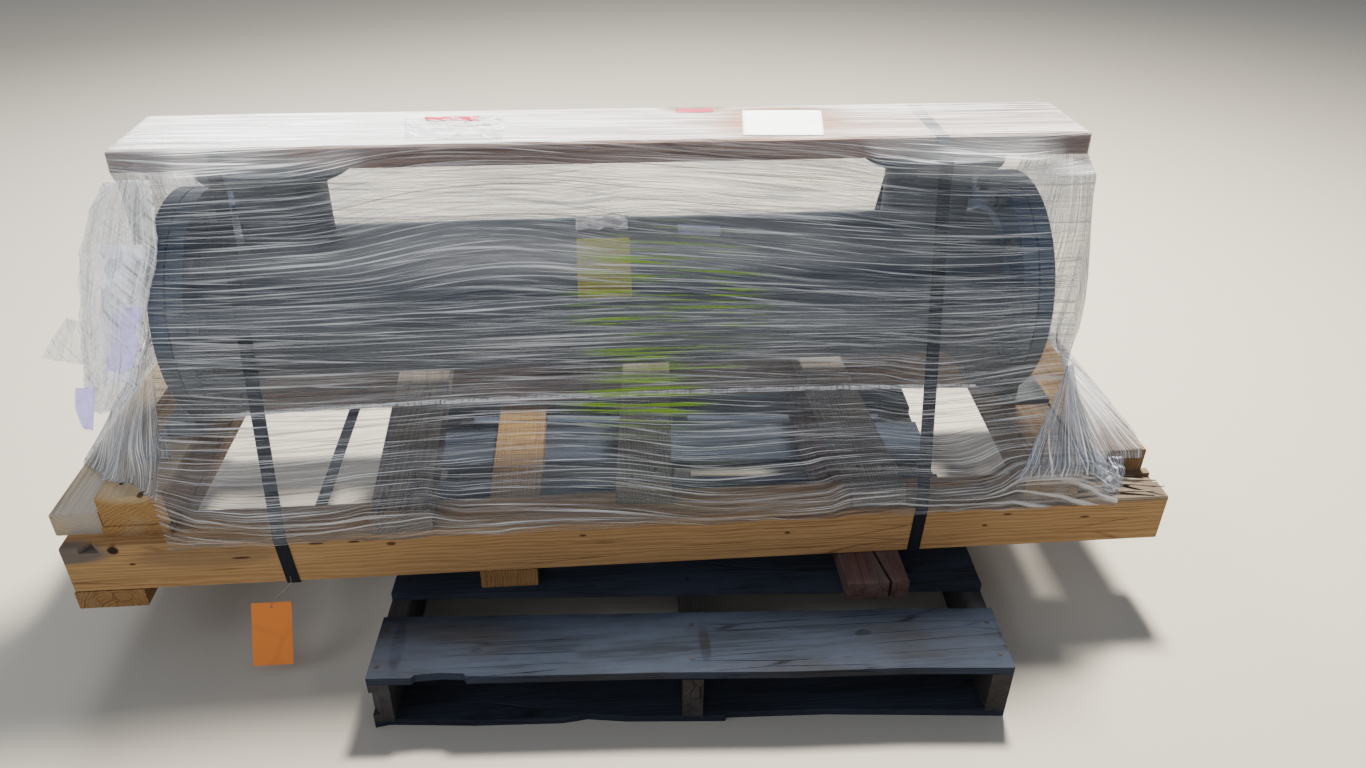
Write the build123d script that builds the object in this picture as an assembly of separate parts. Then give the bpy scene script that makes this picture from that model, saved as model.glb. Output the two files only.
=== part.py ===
from build123d import *
import math
import os

os.makedirs("parts", exist_ok=True)

# All sizes are in millimetres. The floor is z = 0, the pallet is centred on the origin
# and the cooler's axis runs along X.

# Pallet
PALLET_LENGTH = 1168
PALLET_DEPTH = 1016
PALLET_TURN = -3.1
BOTTOM_BOARD_THICK = 16
BOTTOM_BOARD_WIDTH = 140
STRINGER_HEIGHT = 96
STRINGER_WIDTH = 38
DECK_THICK = 17
DECK_BOARD_WIDTH = 152
DECK_BOARD_COUNT = 5

# Wear of the pallet's front edges: place along the board from its middle, and depth of the bite
DECK_EDGE_WEAR = ((-505, 0), (-498, 7), (-452, 11), (-412, 9), (-407, 0), (-60, 3), (180, 0), (395, 4))
BOTTOM_EDGE_WEAR = ((-560, 6), (-400, 0), (-240, 2), (-196, 10), (-120, 3), (60, 0), (64, 8), (250, 11))
STRINGER_ROT = 22
STRINGER_ROT_HEIGHT = 58

# Skid
LOAD_X = -120
LOAD_Y = 97
SKID_DEPTH = 708
BEAM_LENGTH = 2130
BEAM_X = 5
BEAM_WIDTH = 100
BEAM_HEIGHT = 107
BEAM_CORNER_LOSS = 26
BEAM_SPLINTER_LENGTH = 128
BEAM_SPLINTER_WIDTH = 30
BEAM_SPLINTER_DEPTH = 9
BEARER_THICK = 41
RIGHT_BEARER_REACH = 88
BEARER_SPLIT_AT = 24
BEARER_SPLIT_GAP = 6
BEARER_SPLIT_TURN = 8

# Bearers under the beams: distance from the beams' end, and width
LEFT_BEARER = (60, 128)
MIDDLE_BEARER = (812, 111)
RIGHT_BEARER = (-601, 122)

# Planks on the beams: name, centre x, width, thickness, front inset, back inset, turn in degrees
PLANKS = (
    ("first_plank", -451, 113, 50, 2, 8, 2.4),
    ("second_plank", 42, 108, 53, 54, 10, -3.6),
    ("third_plank", 469, 103, 44, 12, 6, 2.2),
)

# Outer crosspieces: distance from the beams' end, width, thickness, front and back inset
LEFT_OUTER = (24, 88, 50, 40, 12)
RIGHT_OUTER = (-80, 132, 52, 92, 4)

# Crosspieces under the cooler: distance from the outer one's middle, width, front and back inset, turn
SUPPORT_LEVEL = 88
SHIM_THICK = 22
SHIM_SHIFT = -3
SHIM_INSETS = (30, 20)
LEFT_INNER = (110, 121, 34, 10, 0.0)
RIGHT_INNER = (-143.2, 106, 6, 10, -3.6)
EDGE_ROUND = 2

# Cooler
SHELL_OD = 300
SHELL_WALL = 9.5
WELD_LEG = 8
FLANGE_REACH = 78
FLANGE_THICK = 29
FLANGE_GAP = 3
COVER_THICK = 30
COVER_EDGE = 2
FLANGE_PAST_SUPPORT = (141, 98.8)
FLANGE_CLEARANCE = 3
FLANGE_BOLT_COUNT = 12
FLANGE_BOLT_EDGE = 24
FLANGE_BOLT_HOLE = 24
GASKET_WIDTH = 30
BUNDLE_GAP = 15.5
NOZZLE_FROM_FLANGE = (145, -143)
NOZZLE_STAND = 305
NOZZLE_OD = 168.3
NOZZLE_BORE = 154
NOZZLE_FLANGE_OD = 279
NOZZLE_FLANGE_THICK = 25.4
NOZZLE_HUB_OD = 192
NOZZLE_HUB_HEIGHT = 40
NOZZLE_BOLT_COUNT = 8
NOZZLE_BOLT_CIRCLE = 241.3
NOZZLE_BOLT_HOLE = 22.2
FOOT_WIDTH = 260
FOOT_HEIGHT = 111
FOOT_REACH = 84
FOOT_THICK = 10
PLUG_AT = -60
PLUG_OD = 39.6
PLUG_HEX = 34
PLUG_LENGTH = 28
PLUG_HEAD = 16
FIT = 0.2

# Boards over the nozzles
BOARD_LENGTH = 1764
BOARD_WIDTH = 203
BOARD_THICK = 18
BOARD_X = -10
BOARD_Y = 5

# Straps: distance from the nozzle's middle at the boards' top and at the beams' underside
STRAP_TOP = (-67, -14)
STRAP_FOOT = (-17, -45)
STRAP_WIDTH = 25
STRAP_THICK = 1.2

# Stretch film
FILM_THICK = 2
FILM_SEAT = 0.3
FILM_RISE = 0.5
FILM_LAP = 11
FILM_OVER_SUPPORT = 7
FILM_END_LAP = 18
FILM_FRONT_SHORT = 25
LEFT_TUCK_LOW = 24
LEFT_SKIRT_FRONT = 150
RIGHT_BULGE = 70
RIGHT_BULGE_TOP = 160
RIGHT_PINCH = 50
RIGHT_PINCH_DROP = 120
RIGHT_SKIRT_FRONT = 268
TOP_FILM_INSET = (2, 3.5)

# Papers and tag
POUCH = (-394, -214, -80, 66, 3)
BAG_PAST_COVER = 4
BAG_SWING = 116
BAG_WIDTH = 116
BAG_THICK = 8
BAG_HEIGHT = 400
BAG_LEAN = 16
TAG_WIDTH = 76
TAG_HEIGHT = 121
TAG_THICK = 1
TAG_TILT = -32
TAG_HOLE = 5
TAG_HOLE_DROP = 9
TAG_WIRE = 1.6

# Tag and wire: places from the strap's foot on the front beam
TAG_AT = (-49, -9, -42)
TAG_WIRE_PATH = (
    (-5, -2.6, 18),
    (-6, -2.8, 0),
    (-27, -7, -20),
    (-46, -11.6, -39),
    (-49, -12.35, -44.6),
)

# Levels and edges that follow from the sizes
DECK_Z = BOTTOM_BOARD_THICK + STRINGER_HEIGHT + DECK_THICK
BEAM_Z = DECK_Z + BEARER_THICK
BEAM_TOP = BEAM_Z + BEAM_HEIGHT
SUPPORT_Z = BEAM_TOP + SUPPORT_LEVEL
FLANGE_OD = SHELL_OD + 2 * FLANGE_REACH
FLANGE_BOLT_CIRCLE = FLANGE_OD - 2 * FLANGE_BOLT_EDGE
AXIS_Z = SUPPORT_Z + FLANGE_CLEARANCE + FLANGE_OD / 2
BOARD_Z = AXIS_Z + NOZZLE_STAND
BOARD_TOP = BOARD_Z + 2 * BOARD_THICK
END_DEPTH = FLANGE_THICK + FLANGE_GAP + COVER_THICK
BEAM_LEFT = BEAM_X - BEAM_LENGTH / 2
BEAM_RIGHT = BEAM_X + BEAM_LENGTH / 2
LEFT_OUTER_X = BEAM_LEFT + LEFT_OUTER[0]
RIGHT_OUTER_X = BEAM_RIGHT + RIGHT_OUTER[0]
LEFT_INNER_X = LEFT_OUTER_X + LEFT_INNER[0]
RIGHT_INNER_X = RIGHT_OUTER_X + RIGHT_INNER[0]
FLANGE_LEFT_AT = LEFT_INNER_X + FLANGE_PAST_SUPPORT[0]
FLANGE_RIGHT_AT = RIGHT_INNER_X - FLANGE_PAST_SUPPORT[1]
COVER_LEFT = FLANGE_LEFT_AT - END_DEPTH
COVER_RIGHT = FLANGE_RIGHT_AT + END_DEPTH
NOZZLE_AT = (FLANGE_LEFT_AT + NOZZLE_FROM_FLANGE[0], FLANGE_RIGHT_AT + NOZZLE_FROM_FLANGE[1])
BOARD_LEFT = BOARD_X - BOARD_LENGTH / 2
BOARD_RIGHT = BOARD_X + BOARD_LENGTH / 2
BOARD_FRONT = BOARD_Y - BOARD_WIDTH / 2
BOARD_BACK = BOARD_Y + BOARD_WIDTH / 2
HALF = SKID_DEPTH / 2
PALLET = Location((0, 0, 0), (0, 0, PALLET_TURN))
LOAD = Location((LOAD_X, LOAD_Y, 0))


def save(name, shape, place=LOAD):
    export_step(place * shape, f"parts/{name}.step")


def block(x0, x1, y0, y1, z0, z1):
    return Pos((x0 + x1) / 2, (y0 + y1) / 2, (z0 + z1) / 2) * Box(x1 - x0, y1 - y0, z1 - z0)


def prism_y(points, y0, y1):
    """A solid from an outline in x and z, between two values of y."""
    face = Plane((0, y1, 0), x_dir=(1, 0, 0), z_dir=(0, -1, 0)) * make_face(Polyline(*points, close=True))
    return extrude(face, y1 - y0)


def prism_x(points, x0, x1):
    """A solid from an outline in y and z, between two values of x."""
    face = Plane((x0, 0, 0), x_dir=(0, 1, 0), z_dir=(1, 0, 0)) * make_face(Polyline(*points, close=True))
    return extrude(face, x1 - x0)


# Pallet


def worn_board(width, thick, wear):
    """A board whose front edge is bitten away; its middle is the origin and its underside is z = 0."""
    half_length = PALLET_LENGTH / 2
    front = [(x, -width / 2 + bite) for x, bite in wear]
    outline = [(-half_length, -width / 2), *front, (half_length, -width / 2)]
    outline += [(half_length, width / 2), (-half_length, width / 2)]
    return extrude(make_face(Polyline(*outline, close=True)), thick)


def plain_board(width, thick):
    return Pos(0, 0, thick / 2) * Box(PALLET_LENGTH, width, thick)


def pallet():
    pitch = (PALLET_DEPTH - DECK_BOARD_WIDTH) / (DECK_BOARD_COUNT - 1)
    first = -(PALLET_DEPTH - DECK_BOARD_WIDTH) / 2
    deck_z = DECK_Z - DECK_THICK
    front = Pos(0, first, deck_z) * worn_board(DECK_BOARD_WIDTH, DECK_THICK, DECK_EDGE_WEAR)
    save("pallet_front_deck_board", front, PALLET)
    deck = []
    for i in range(1, DECK_BOARD_COUNT):
        deck.append(Pos(0, first + i * pitch, deck_z) * plain_board(DECK_BOARD_WIDTH, DECK_THICK))
    save("pallet_deck_boards", Compound(deck), PALLET)
    reach = (PALLET_DEPTH - BOTTOM_BOARD_WIDTH) / 2
    bottoms = [Pos(0, -reach, 0) * worn_board(BOTTOM_BOARD_WIDTH, BOTTOM_BOARD_THICK, BOTTOM_EDGE_WEAR)]
    for y in (0, reach):
        bottoms.append(Pos(0, y, 0) * plain_board(BOTTOM_BOARD_WIDTH, BOTTOM_BOARD_THICK))
    save("pallet_bottom_boards", Compound(bottoms), PALLET)
    stringers = []
    side = (PALLET_LENGTH - STRINGER_WIDTH) / 2
    middle_z = BOTTOM_BOARD_THICK + STRINGER_HEIGHT / 2
    for x in (-side, 0, side):
        stringers.append(Pos(x, 0, middle_z) * Box(STRINGER_WIDTH, PALLET_DEPTH, STRINGER_HEIGHT))
    rot = Rot(0, 0, 45) * Box(STRINGER_ROT, STRINGER_ROT, STRINGER_ROT_HEIGHT)
    stringers[0] -= Pos(-PALLET_LENGTH / 2, -PALLET_DEPTH / 2, middle_z) * rot
    save("pallet_stringers", Compound(stringers), PALLET)


# Skid


def timber(x, width, y0, y1, z0, thick, turn=0.0):
    body = chamfer(Box(width, y1 - y0, thick).edges().filter_by(Axis.Y), EDGE_ROUND)
    return Pos(x, (y0 + y1) / 2, z0 + thick / 2) * Rot(0, 0, turn) * body


def bearers():
    for name, (inset, width) in (("left_bearer", LEFT_BEARER), ("middle_bearer", MIDDLE_BEARER)):
        save(name, timber(BEAM_LEFT + inset, width, -HALF, HALF, DECK_Z, BEARER_THICK))
    inset, width = RIGHT_BEARER
    x = BEAM_RIGHT + inset
    front = -HALF - RIGHT_BEARER_REACH
    whole = timber(x, width, front, HALF, DECK_Z, BEARER_THICK)
    split = Rot(0, 0, BEARER_SPLIT_TURN) * Box(BEARER_SPLIT_GAP, 2 * SKID_DEPTH, 3 * BEARER_THICK)
    save("right_bearer", whole - Pos(x + BEARER_SPLIT_AT, front, DECK_Z) * split)


def beams():
    for name, side in (("front_beam", -1), ("rear_beam", 1)):
        beam = Box(BEAM_LENGTH, BEAM_WIDTH, BEAM_HEIGHT)
        beam = chamfer(beam.edges().filter_by(Axis.X), EDGE_ROUND + 1)
        beam = Pos(BEAM_X, side * (HALF - BEAM_WIDTH / 2), BEAM_Z + BEAM_HEIGHT / 2) * beam
        if side < 0:
            loss = Rot(0, 0, 45) * Box(BEAM_CORNER_LOSS, BEAM_CORNER_LOSS, BEAM_CORNER_LOSS)
            beam -= Pos(BEAM_LEFT + BEAM_WIDTH / 2, -HALF, BEAM_TOP) * loss
            low_x = BEAM_RIGHT - BEAM_SPLINTER_LENGTH
            high_x = BEAM_RIGHT + FIT
            high_z = BEAM_TOP + FIT
            groove = ((low_x, high_z), (high_x, high_z), (high_x, BEAM_TOP - BEAM_SPLINTER_DEPTH))
            y = -HALF + BEAM_WIDTH / 2
            beam -= prism_y(groove, y, y + BEAM_SPLINTER_WIDTH)
        save(name, beam)


def crosspieces():
    for name, x, width, thick, front, back, turn in PLANKS:
        save(name, timber(x, width, -HALF + front, HALF - back, BEAM_TOP, thick, turn))
    for name, x, sizes in (("left", LEFT_OUTER_X, LEFT_OUTER), ("right", RIGHT_OUTER_X, RIGHT_OUTER)):
        _, width, thick, front, back = sizes
        save(f"{name}_outer_crosspiece", timber(x, width, -HALF + front, HALF - back, BEAM_TOP, thick))
    _, width, front, back, turn = LEFT_INNER
    x = LEFT_INNER_X
    shim_front, shim_back = SHIM_INSETS
    shim = timber(x + SHIM_SHIFT, width, -HALF + shim_front, HALF - shim_back, BEAM_TOP, SHIM_THICK)
    save("left_shim_board", shim)
    level = BEAM_TOP + SHIM_THICK
    piece = timber(x, width, -HALF + front, HALF - back, level, SUPPORT_Z - level, turn)
    save("left_inner_crosspiece", piece)
    _, width, front, back, turn = RIGHT_INNER
    piece = timber(RIGHT_INNER_X, width, -HALF + front, HALF - back, BEAM_TOP, SUPPORT_LEVEL, turn)
    save("right_inner_crosspiece", piece)


# Cooler


def pipe_x(radius, x0, x1):
    return Pos((x0 + x1) / 2, 0, AXIS_Z) * Rot(0, 90, 0) * Cylinder(radius, x1 - x0)


def cone_x(radius0, radius1, x0, x1):
    """A cone about the cooler's axis, with its first radius at x0."""
    return Pos((x0 + x1) / 2, 0, AXIS_Z) * Rot(0, 90, 0) * Cone(radius0, radius1, x1 - x0)


def flange_bolt_holes(x0, x1):
    holes = []
    for i in range(FLANGE_BOLT_COUNT):
        angle = math.radians(360 / FLANGE_BOLT_COUNT * (i + 0.5))
        y = FLANGE_BOLT_CIRCLE / 2 * math.cos(angle)
        z = AXIS_Z + FLANGE_BOLT_CIRCLE / 2 * math.sin(angle)
        hole = Rot(0, 90, 0) * Cylinder(FLANGE_BOLT_HOLE / 2, 2 * (x1 - x0))
        holes.append(Pos((x0 + x1) / 2, y, z) * hole)
    return holes


def shell_and_plug():
    inside = SHELL_OD / 2 - SHELL_WALL
    shell = pipe_x(SHELL_OD / 2, FLANGE_LEFT_AT, FLANGE_RIGHT_AT)
    shell -= pipe_x(inside, FLANGE_LEFT_AT, FLANGE_RIGHT_AT)
    for x in NOZZLE_AT:
        shell -= Pos(x, 0, AXIS_Z + SHELL_OD / 2) * Cylinder(NOZZLE_OD / 2 + FIT, SHELL_OD)
    plug_z = AXIS_Z - SHELL_OD / 2
    shell -= Pos(PLUG_AT, 0, plug_z) * Cylinder(PLUG_OD / 2 + FIT, 6 * SHELL_WALL)
    save("shell", shell)
    body = Pos(PLUG_AT, 0, plug_z + SHELL_WALL - PLUG_LENGTH / 2) * Cylinder(PLUG_OD / 2, PLUG_LENGTH)
    head_z = plug_z + SHELL_WALL - PLUG_LENGTH - PLUG_HEAD
    head = Pos(PLUG_AT, 0, head_z) * extrude(RegularPolygon(PLUG_HEX / 2, 6), PLUG_HEAD)
    save("drain_plug", body + head)


def cooler_end(name, x, side):
    """Shell flange with its weld, gasket, flat cover and L-shaped foot at one end."""
    bore = SHELL_OD / 2 - SHELL_WALL
    face = x + side * FLANGE_THICK
    a, b = sorted((x, face))
    flange = pipe_x(FLANGE_OD / 2, a, b) - pipe_x(bore, a, b)
    for hole in flange_bolt_holes(a, b):
        flange -= hole
    thin = SHELL_OD / 2 + FIT
    weld_end = x - side * WELD_LEG
    a, b = sorted((x, weld_end))
    radii = (thin, thin + WELD_LEG) if weld_end < x else (thin + WELD_LEG, thin)
    flange += cone_x(*radii, a, b) - pipe_x(thin, a, b)
    save(f"{name}_shell_flange", flange)
    a, b = sorted((face, face + side * FLANGE_GAP))
    save(f"{name}_gasket", pipe_x(SHELL_OD / 2 + GASKET_WIDTH, a, b) - pipe_x(SHELL_OD / 2, a, b))
    face += side * FLANGE_GAP
    outer = face + side * COVER_THICK
    a, b = sorted((face, outer))
    cover = pipe_x(FLANGE_OD / 2, a, b)
    rim = cover.edges().filter_by(GeomType.CIRCLE).group_by(Axis.X)[0 if side < 0 else -1]
    cover = chamfer(rim, COVER_EDGE)
    for hole in flange_bolt_holes(a, b):
        cover -= hole
    save(f"{name}_end_cover", cover)
    a, b = sorted((outer, outer + side * FOOT_THICK))
    upright = block(a, b, -FOOT_WIDTH / 2, FOOT_WIDTH / 2, SUPPORT_Z, SUPPORT_Z + FOOT_HEIGHT)
    a, b = sorted((outer, outer + side * FOOT_REACH))
    base = block(a, b, -FOOT_WIDTH / 2, FOOT_WIDTH / 2, SUPPORT_Z, SUPPORT_Z + FOOT_THICK)
    save(f"{name}_foot", upright + base)


def tube_bundle():
    end_gap = FLANGE_THICK + FLANGE_GAP
    radius = SHELL_OD / 2 - SHELL_WALL - BUNDLE_GAP
    save("tube_bundle", pipe_x(radius, FLANGE_LEFT_AT - end_gap, FLANGE_RIGHT_AT + end_gap))


def nozzle(name, x):
    """Short pipe set into the shell, with a weld-neck flange at its top."""
    flange_z = BOARD_Z - NOZZLE_FLANGE_THICK
    neck = Pos(x, 0, AXIS_Z + NOZZLE_STAND / 2) * Cylinder(NOZZLE_OD / 2, NOZZLE_STAND)
    hub = Cone(NOZZLE_OD / 2, NOZZLE_HUB_OD / 2, NOZZLE_HUB_HEIGHT)
    hub = Pos(x, 0, flange_z - NOZZLE_HUB_HEIGHT / 2) * hub
    disc = Cylinder(NOZZLE_FLANGE_OD / 2, NOZZLE_FLANGE_THICK)
    disc = Pos(x, 0, flange_z + NOZZLE_FLANGE_THICK / 2) * disc
    body = neck + hub + disc
    body -= Pos(x, 0, AXIS_Z + NOZZLE_STAND) * Cylinder(NOZZLE_BORE / 2, 2 * NOZZLE_STAND)
    for i in range(NOZZLE_BOLT_COUNT):
        angle = math.radians(360 / NOZZLE_BOLT_COUNT * (i + 0.5))
        hole_x = x + NOZZLE_BOLT_CIRCLE / 2 * math.cos(angle)
        hole_y = NOZZLE_BOLT_CIRCLE / 2 * math.sin(angle)
        hole = Cylinder(NOZZLE_BOLT_HOLE / 2, 2 * NOZZLE_FLANGE_THICK)
        body -= Pos(hole_x, hole_y, flange_z + NOZZLE_FLANGE_THICK / 2) * hole
    save(name, body - pipe_x(SHELL_OD / 2 - SHELL_WALL, FLANGE_LEFT_AT, FLANGE_RIGHT_AT))


# Boards and straps


def top_boards():
    for name, z in (("lower_top_board", BOARD_Z), ("upper_top_board", BOARD_Z + BOARD_THICK)):
        save(name, Pos(BOARD_X, BOARD_Y, z + BOARD_THICK / 2) * Box(BOARD_LENGTH, BOARD_WIDTH, BOARD_THICK))


def leaning_plane(x_high, x_low, z_high, z_low):
    """A plane that holds the y direction and leans in x, and its length for each millimetre of height."""
    run = x_high - x_low
    rise = z_high - z_low
    stretch = math.hypot(run, rise) / rise
    return Plane((x_low, 0, z_low), x_dir=(0, 1, 0), z_dir=(rise, 0, -run)), stretch


def strap(name, x_high, x_low, nozzle_x):
    """A loop round boards, nozzle flange and beams, leaning a little along the load."""
    plane, stretch = leaning_plane(x_high, x_low, BOARD_TOP, BEAM_Z)
    flange_z = BOARD_Z - NOZZLE_FLANGE_THICK
    x_there = x_high + (x_low - x_high) * (BOARD_TOP - flange_z) / (BOARD_TOP - BEAM_Z)
    off_centre = max(0, min(abs(x_high - nozzle_x), abs(x_there - nozzle_x)) - STRAP_WIDTH / 2)
    rim = math.sqrt((NOZZLE_FLANGE_OD / 2) ** 2 - off_centre**2)
    corners = [(BOARD_FRONT, BOARD_TOP), (-rim, BOARD_Z), (-rim, flange_z)]
    corners += [(-HALF, BEAM_TOP), (-HALF, BEAM_Z), (HALF, BEAM_Z), (HALF, BEAM_TOP)]
    corners += [(rim, flange_z), (rim, BOARD_Z), (BOARD_BACK, BOARD_TOP)]
    line = Polyline(*[(y, (z - BEAM_Z) * stretch) for y, z in corners], close=True)
    outer = offset(make_face(line), STRAP_THICK + FIT, kind=Kind.INTERSECTION)
    ring = outer - offset(make_face(line), FIT, kind=Kind.INTERSECTION)
    save(name, extrude(plane * ring, STRAP_WIDTH / 2, dir=(1, 0, 0), both=True))


# Stretch film, one thin sheet a side


def film_touch(upper, lower):
    """Where film pulled from one corner to another bends round the flange's rim."""
    radius = FLANGE_OD / 2 + FILM_SEAT
    angles = []
    for (y, z), sign in ((upper, -1), (lower, 1)):
        reach = math.hypot(y, z - AXIS_Z)
        angles.append(math.atan2(z - AXIS_Z, -y) + sign * math.acos(radius / reach))
    middle = (angles[0] + angles[1]) / 2
    radius /= math.cos((angles[0] - angles[1]) / 2)
    return (-radius * math.cos(middle), AXIS_Z + radius * math.sin(middle))


def film_profile():
    """The front film's line in y and z, from the boards' top edge to the beam's face."""
    over = FIT + STRAP_THICK + FILM_SEAT
    nozzle_y = -NOZZLE_FLANGE_OD / 2 - over
    upper = (nozzle_y, BOARD_Z - NOZZLE_FLANGE_THICK)
    lower = (-HALF - over, SUPPORT_Z + FILM_OVER_SUPPORT)
    start = (BOARD_FRONT - 4 * over, BOARD_TOP + 3 * over)
    lap = (lower[0], BEAM_TOP - FILM_LAP)
    return [start, (nozzle_y, BOARD_Z + over), upper, film_touch(upper, lower), lower, lap]


def end_paths():
    """The end films' lines in x and z, from the boards' ends to the outer crosspieces."""
    left_x = LEFT_OUTER_X - LEFT_OUTER[1] / 2 - FILM_SEAT
    left_z = BEAM_TOP + LEFT_OUTER[2]
    cover = COVER_LEFT - FILM_SEAT
    left = [(BOARD_LEFT - FILM_SEAT, BOARD_TOP), (BOARD_LEFT - FILM_SEAT, BOARD_Z)]
    left += [(cover, AXIS_Z + FLANGE_OD / 2 + FILM_SEAT), (cover, AXIS_Z + LEFT_TUCK_LOW)]
    left += [(left_x, left_z + 4), (left_x, left_z - FILM_END_LAP)]
    right_x = RIGHT_OUTER_X + RIGHT_OUTER[1] / 2 + FILM_SEAT
    right_z = BEAM_TOP + RIGHT_OUTER[2]
    bulge = COVER_RIGHT + RIGHT_BULGE
    right = [(BOARD_RIGHT + FILM_SEAT, BOARD_TOP), (BOARD_RIGHT + FILM_SEAT, BOARD_Z)]
    right += [(bulge, AXIS_Z + RIGHT_BULGE_TOP), (bulge, AXIS_Z)]
    right += [(COVER_RIGHT + RIGHT_PINCH, AXIS_Z - RIGHT_PINCH_DROP)]
    right += [(right_x, right_z + 4), (right_x, right_z - FILM_END_LAP)]
    return left, right


def sheet(path, grow):
    """The closed outline of a film that follows a path and is grown sideways."""
    return [*path, *[(a + grow, b + FILM_RISE) for a, b in reversed(path)]]


def films():
    profile = film_profile()
    mirrored = [(-y, z) for y, z in profile]
    mirrored[0] = (2 * BOARD_Y - profile[0][0], profile[0][1])
    left, right = end_paths()
    low = BEAM_TOP - FILM_LAP
    top = BOARD_TOP + 10 * FILM_THICK
    front_from = LEFT_INNER_X + LEFT_INNER[1] / 2
    front_to = RIGHT_OUTER_X - FILM_FRONT_SHORT
    left_edge = [(left[0][0] + FILM_SEAT, top)] + [(x + FILM_SEAT, z) for x, z in left[1:5]]
    right_edge = [(x - FILM_SEAT, z) for x, z in reversed(right[1:6])] + [(right[0][0] - FILM_SEAT, top)]
    front_feet = [(front_from, SUPPORT_Z), (front_from, low - 1), (front_to, low - 1), (front_to, SUPPORT_Z)]
    back_feet = [(left[5][0] + FILM_SEAT, low - 1), (right[6][0] - FILM_SEAT, low - 1)]
    window = left_edge[:4] + front_feet + right_edge[1:]
    back_window = left_edge + back_feet + right_edge
    reach = 2 * HALF
    span = (left[-1][0], right[-1][0])
    save("front_film", prism_x(sheet(profile, -FILM_THICK), *span) & prism_y(window, -reach, 0))
    save("back_film", prism_x(sheet(mirrored, FILM_THICK), *span) & prism_y(back_window, 0, reach))
    touch_y, touch_z = profile[3]
    for name, path, grow, front in (
        ("left_end_film", left, -FILM_THICK, LEFT_SKIRT_FRONT),
        ("right_end_film", right, FILM_THICK, RIGHT_SKIRT_FRONT),
    ):
        foot = path[-1][1] - 1
        outline = [(profile[1][0], top), *profile[1:3], (touch_y, touch_z), (touch_y, AXIS_Z), (-front, foot)]
        outline += [(-profile[4][0], foot), (-profile[4][0], SUPPORT_Z)]
        outline += [*reversed(mirrored[1:4]), (mirrored[1][0], top)]
        x0, x1 = sorted((path[0][0] - 3 * grow * HALF, path[0][0] + 3 * grow * HALF))
        save(name, prism_y(sheet(path, grow), -reach, reach) & prism_x(outline, x0, x1))
    x_in, y_in = TOP_FILM_INSET
    z = BOARD_TOP + FIT + STRAP_THICK + FILM_SEAT
    lid_x = (BOARD_LEFT + x_in, BOARD_RIGHT - x_in)
    lid_y = (BOARD_FRONT + y_in, BOARD_BACK - y_in)
    save("top_film", block(*lid_x, *lid_y, z, z + FILM_THICK))
    return profile, z + FILM_THICK


# Papers and tag


def papers(profile, film_top):
    x0, x1, y0, y1, thick = POUCH
    save("document_pouch", block(x0, x1, y0, y1, film_top, film_top + thick))
    z_high = BOARD_Z - FILM_SEAT
    bag_x = COVER_LEFT - BAG_PAST_COVER
    plane, stretch = leaning_plane(bag_x, bag_x - BAG_SWING, z_high, z_high - BAG_HEIGHT)
    clear = FILM_THICK + 2 * FILM_SEAT
    points = [(profile[1][0] - clear, z_high), (profile[2][0] - clear, profile[2][1])]
    low_y = profile[3][0] - clear
    points += [(low_y, profile[3][1]), (low_y - BAG_LEAN, z_high - BAG_HEIGHT)]
    outline = sheet(points, -BAG_THICK)
    line = Polyline(*[(y, (z - z_high + BAG_HEIGHT) * stretch) for y, z in outline], close=True)
    save("hanging_bag", extrude(plane * make_face(line), BAG_WIDTH / 2, dir=(1, 0, 0), both=True))
    strap_foot = Pos(NOZZLE_AT[0] + STRAP_FOOT[0], -HALF, BEAM_Z)
    tag = Pos(0, 0, -TAG_HEIGHT / 2) * Box(TAG_WIDTH, TAG_THICK, TAG_HEIGHT)
    tag -= Pos(0, 0, -TAG_HOLE_DROP) * Rot(90, 0, 0) * Cylinder(TAG_HOLE / 2, 10 * TAG_THICK)
    save("hanging_tag", strap_foot * Pos(*TAG_AT) * Rot(TAG_TILT, 0, 0) * tag)
    wire_path = Spline(*TAG_WIRE_PATH)
    wire = sweep(Plane(wire_path @ 0, z_dir=wire_path % 0) * Circle(TAG_WIRE / 2), wire_path)
    save("tag_wire", strap_foot * wire)


pallet()
bearers()
beams()
crosspieces()
shell_and_plug()
cooler_end("left", FLANGE_LEFT_AT, -1)
cooler_end("right", FLANGE_RIGHT_AT, 1)
tube_bundle()
for nozzle_name, nozzle_x in zip(("left_nozzle", "right_nozzle"), NOZZLE_AT):
    nozzle(nozzle_name, nozzle_x)
top_boards()
for strap_name, high, low, nozzle_x in zip(("left_strap", "right_strap"), STRAP_TOP, STRAP_FOOT, NOZZLE_AT):
    strap(strap_name, nozzle_x + high, nozzle_x + low, nozzle_x)
film_line, top_of_film = films()
papers(film_line, top_of_film)
print("built")
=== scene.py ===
import math
import random

import bpy
from mathutils import Matrix, Vector, noise


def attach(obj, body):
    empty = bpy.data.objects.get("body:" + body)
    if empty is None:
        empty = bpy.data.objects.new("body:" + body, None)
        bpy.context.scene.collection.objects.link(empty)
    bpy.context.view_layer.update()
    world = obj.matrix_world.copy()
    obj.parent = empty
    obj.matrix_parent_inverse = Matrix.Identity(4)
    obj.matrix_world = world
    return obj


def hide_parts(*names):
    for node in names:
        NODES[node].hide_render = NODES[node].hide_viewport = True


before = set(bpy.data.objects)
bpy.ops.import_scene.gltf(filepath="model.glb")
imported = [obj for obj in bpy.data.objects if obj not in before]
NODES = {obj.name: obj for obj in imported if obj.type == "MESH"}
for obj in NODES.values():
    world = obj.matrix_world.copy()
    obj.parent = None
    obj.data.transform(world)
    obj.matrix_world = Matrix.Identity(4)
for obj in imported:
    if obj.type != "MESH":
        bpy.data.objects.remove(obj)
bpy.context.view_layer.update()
LOAD = Vector((-0.12, 0.097, 0.0))
random.seed(11)

# Levels and places on the load, in metres
AXIS_Z = 0.596
SHELL_R = 0.15
DECK_Z = 0.129
BEAM_FACE_Y = -0.354


def deselect():
    bpy.ops.object.select_all(action="DESELECT")


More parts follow.
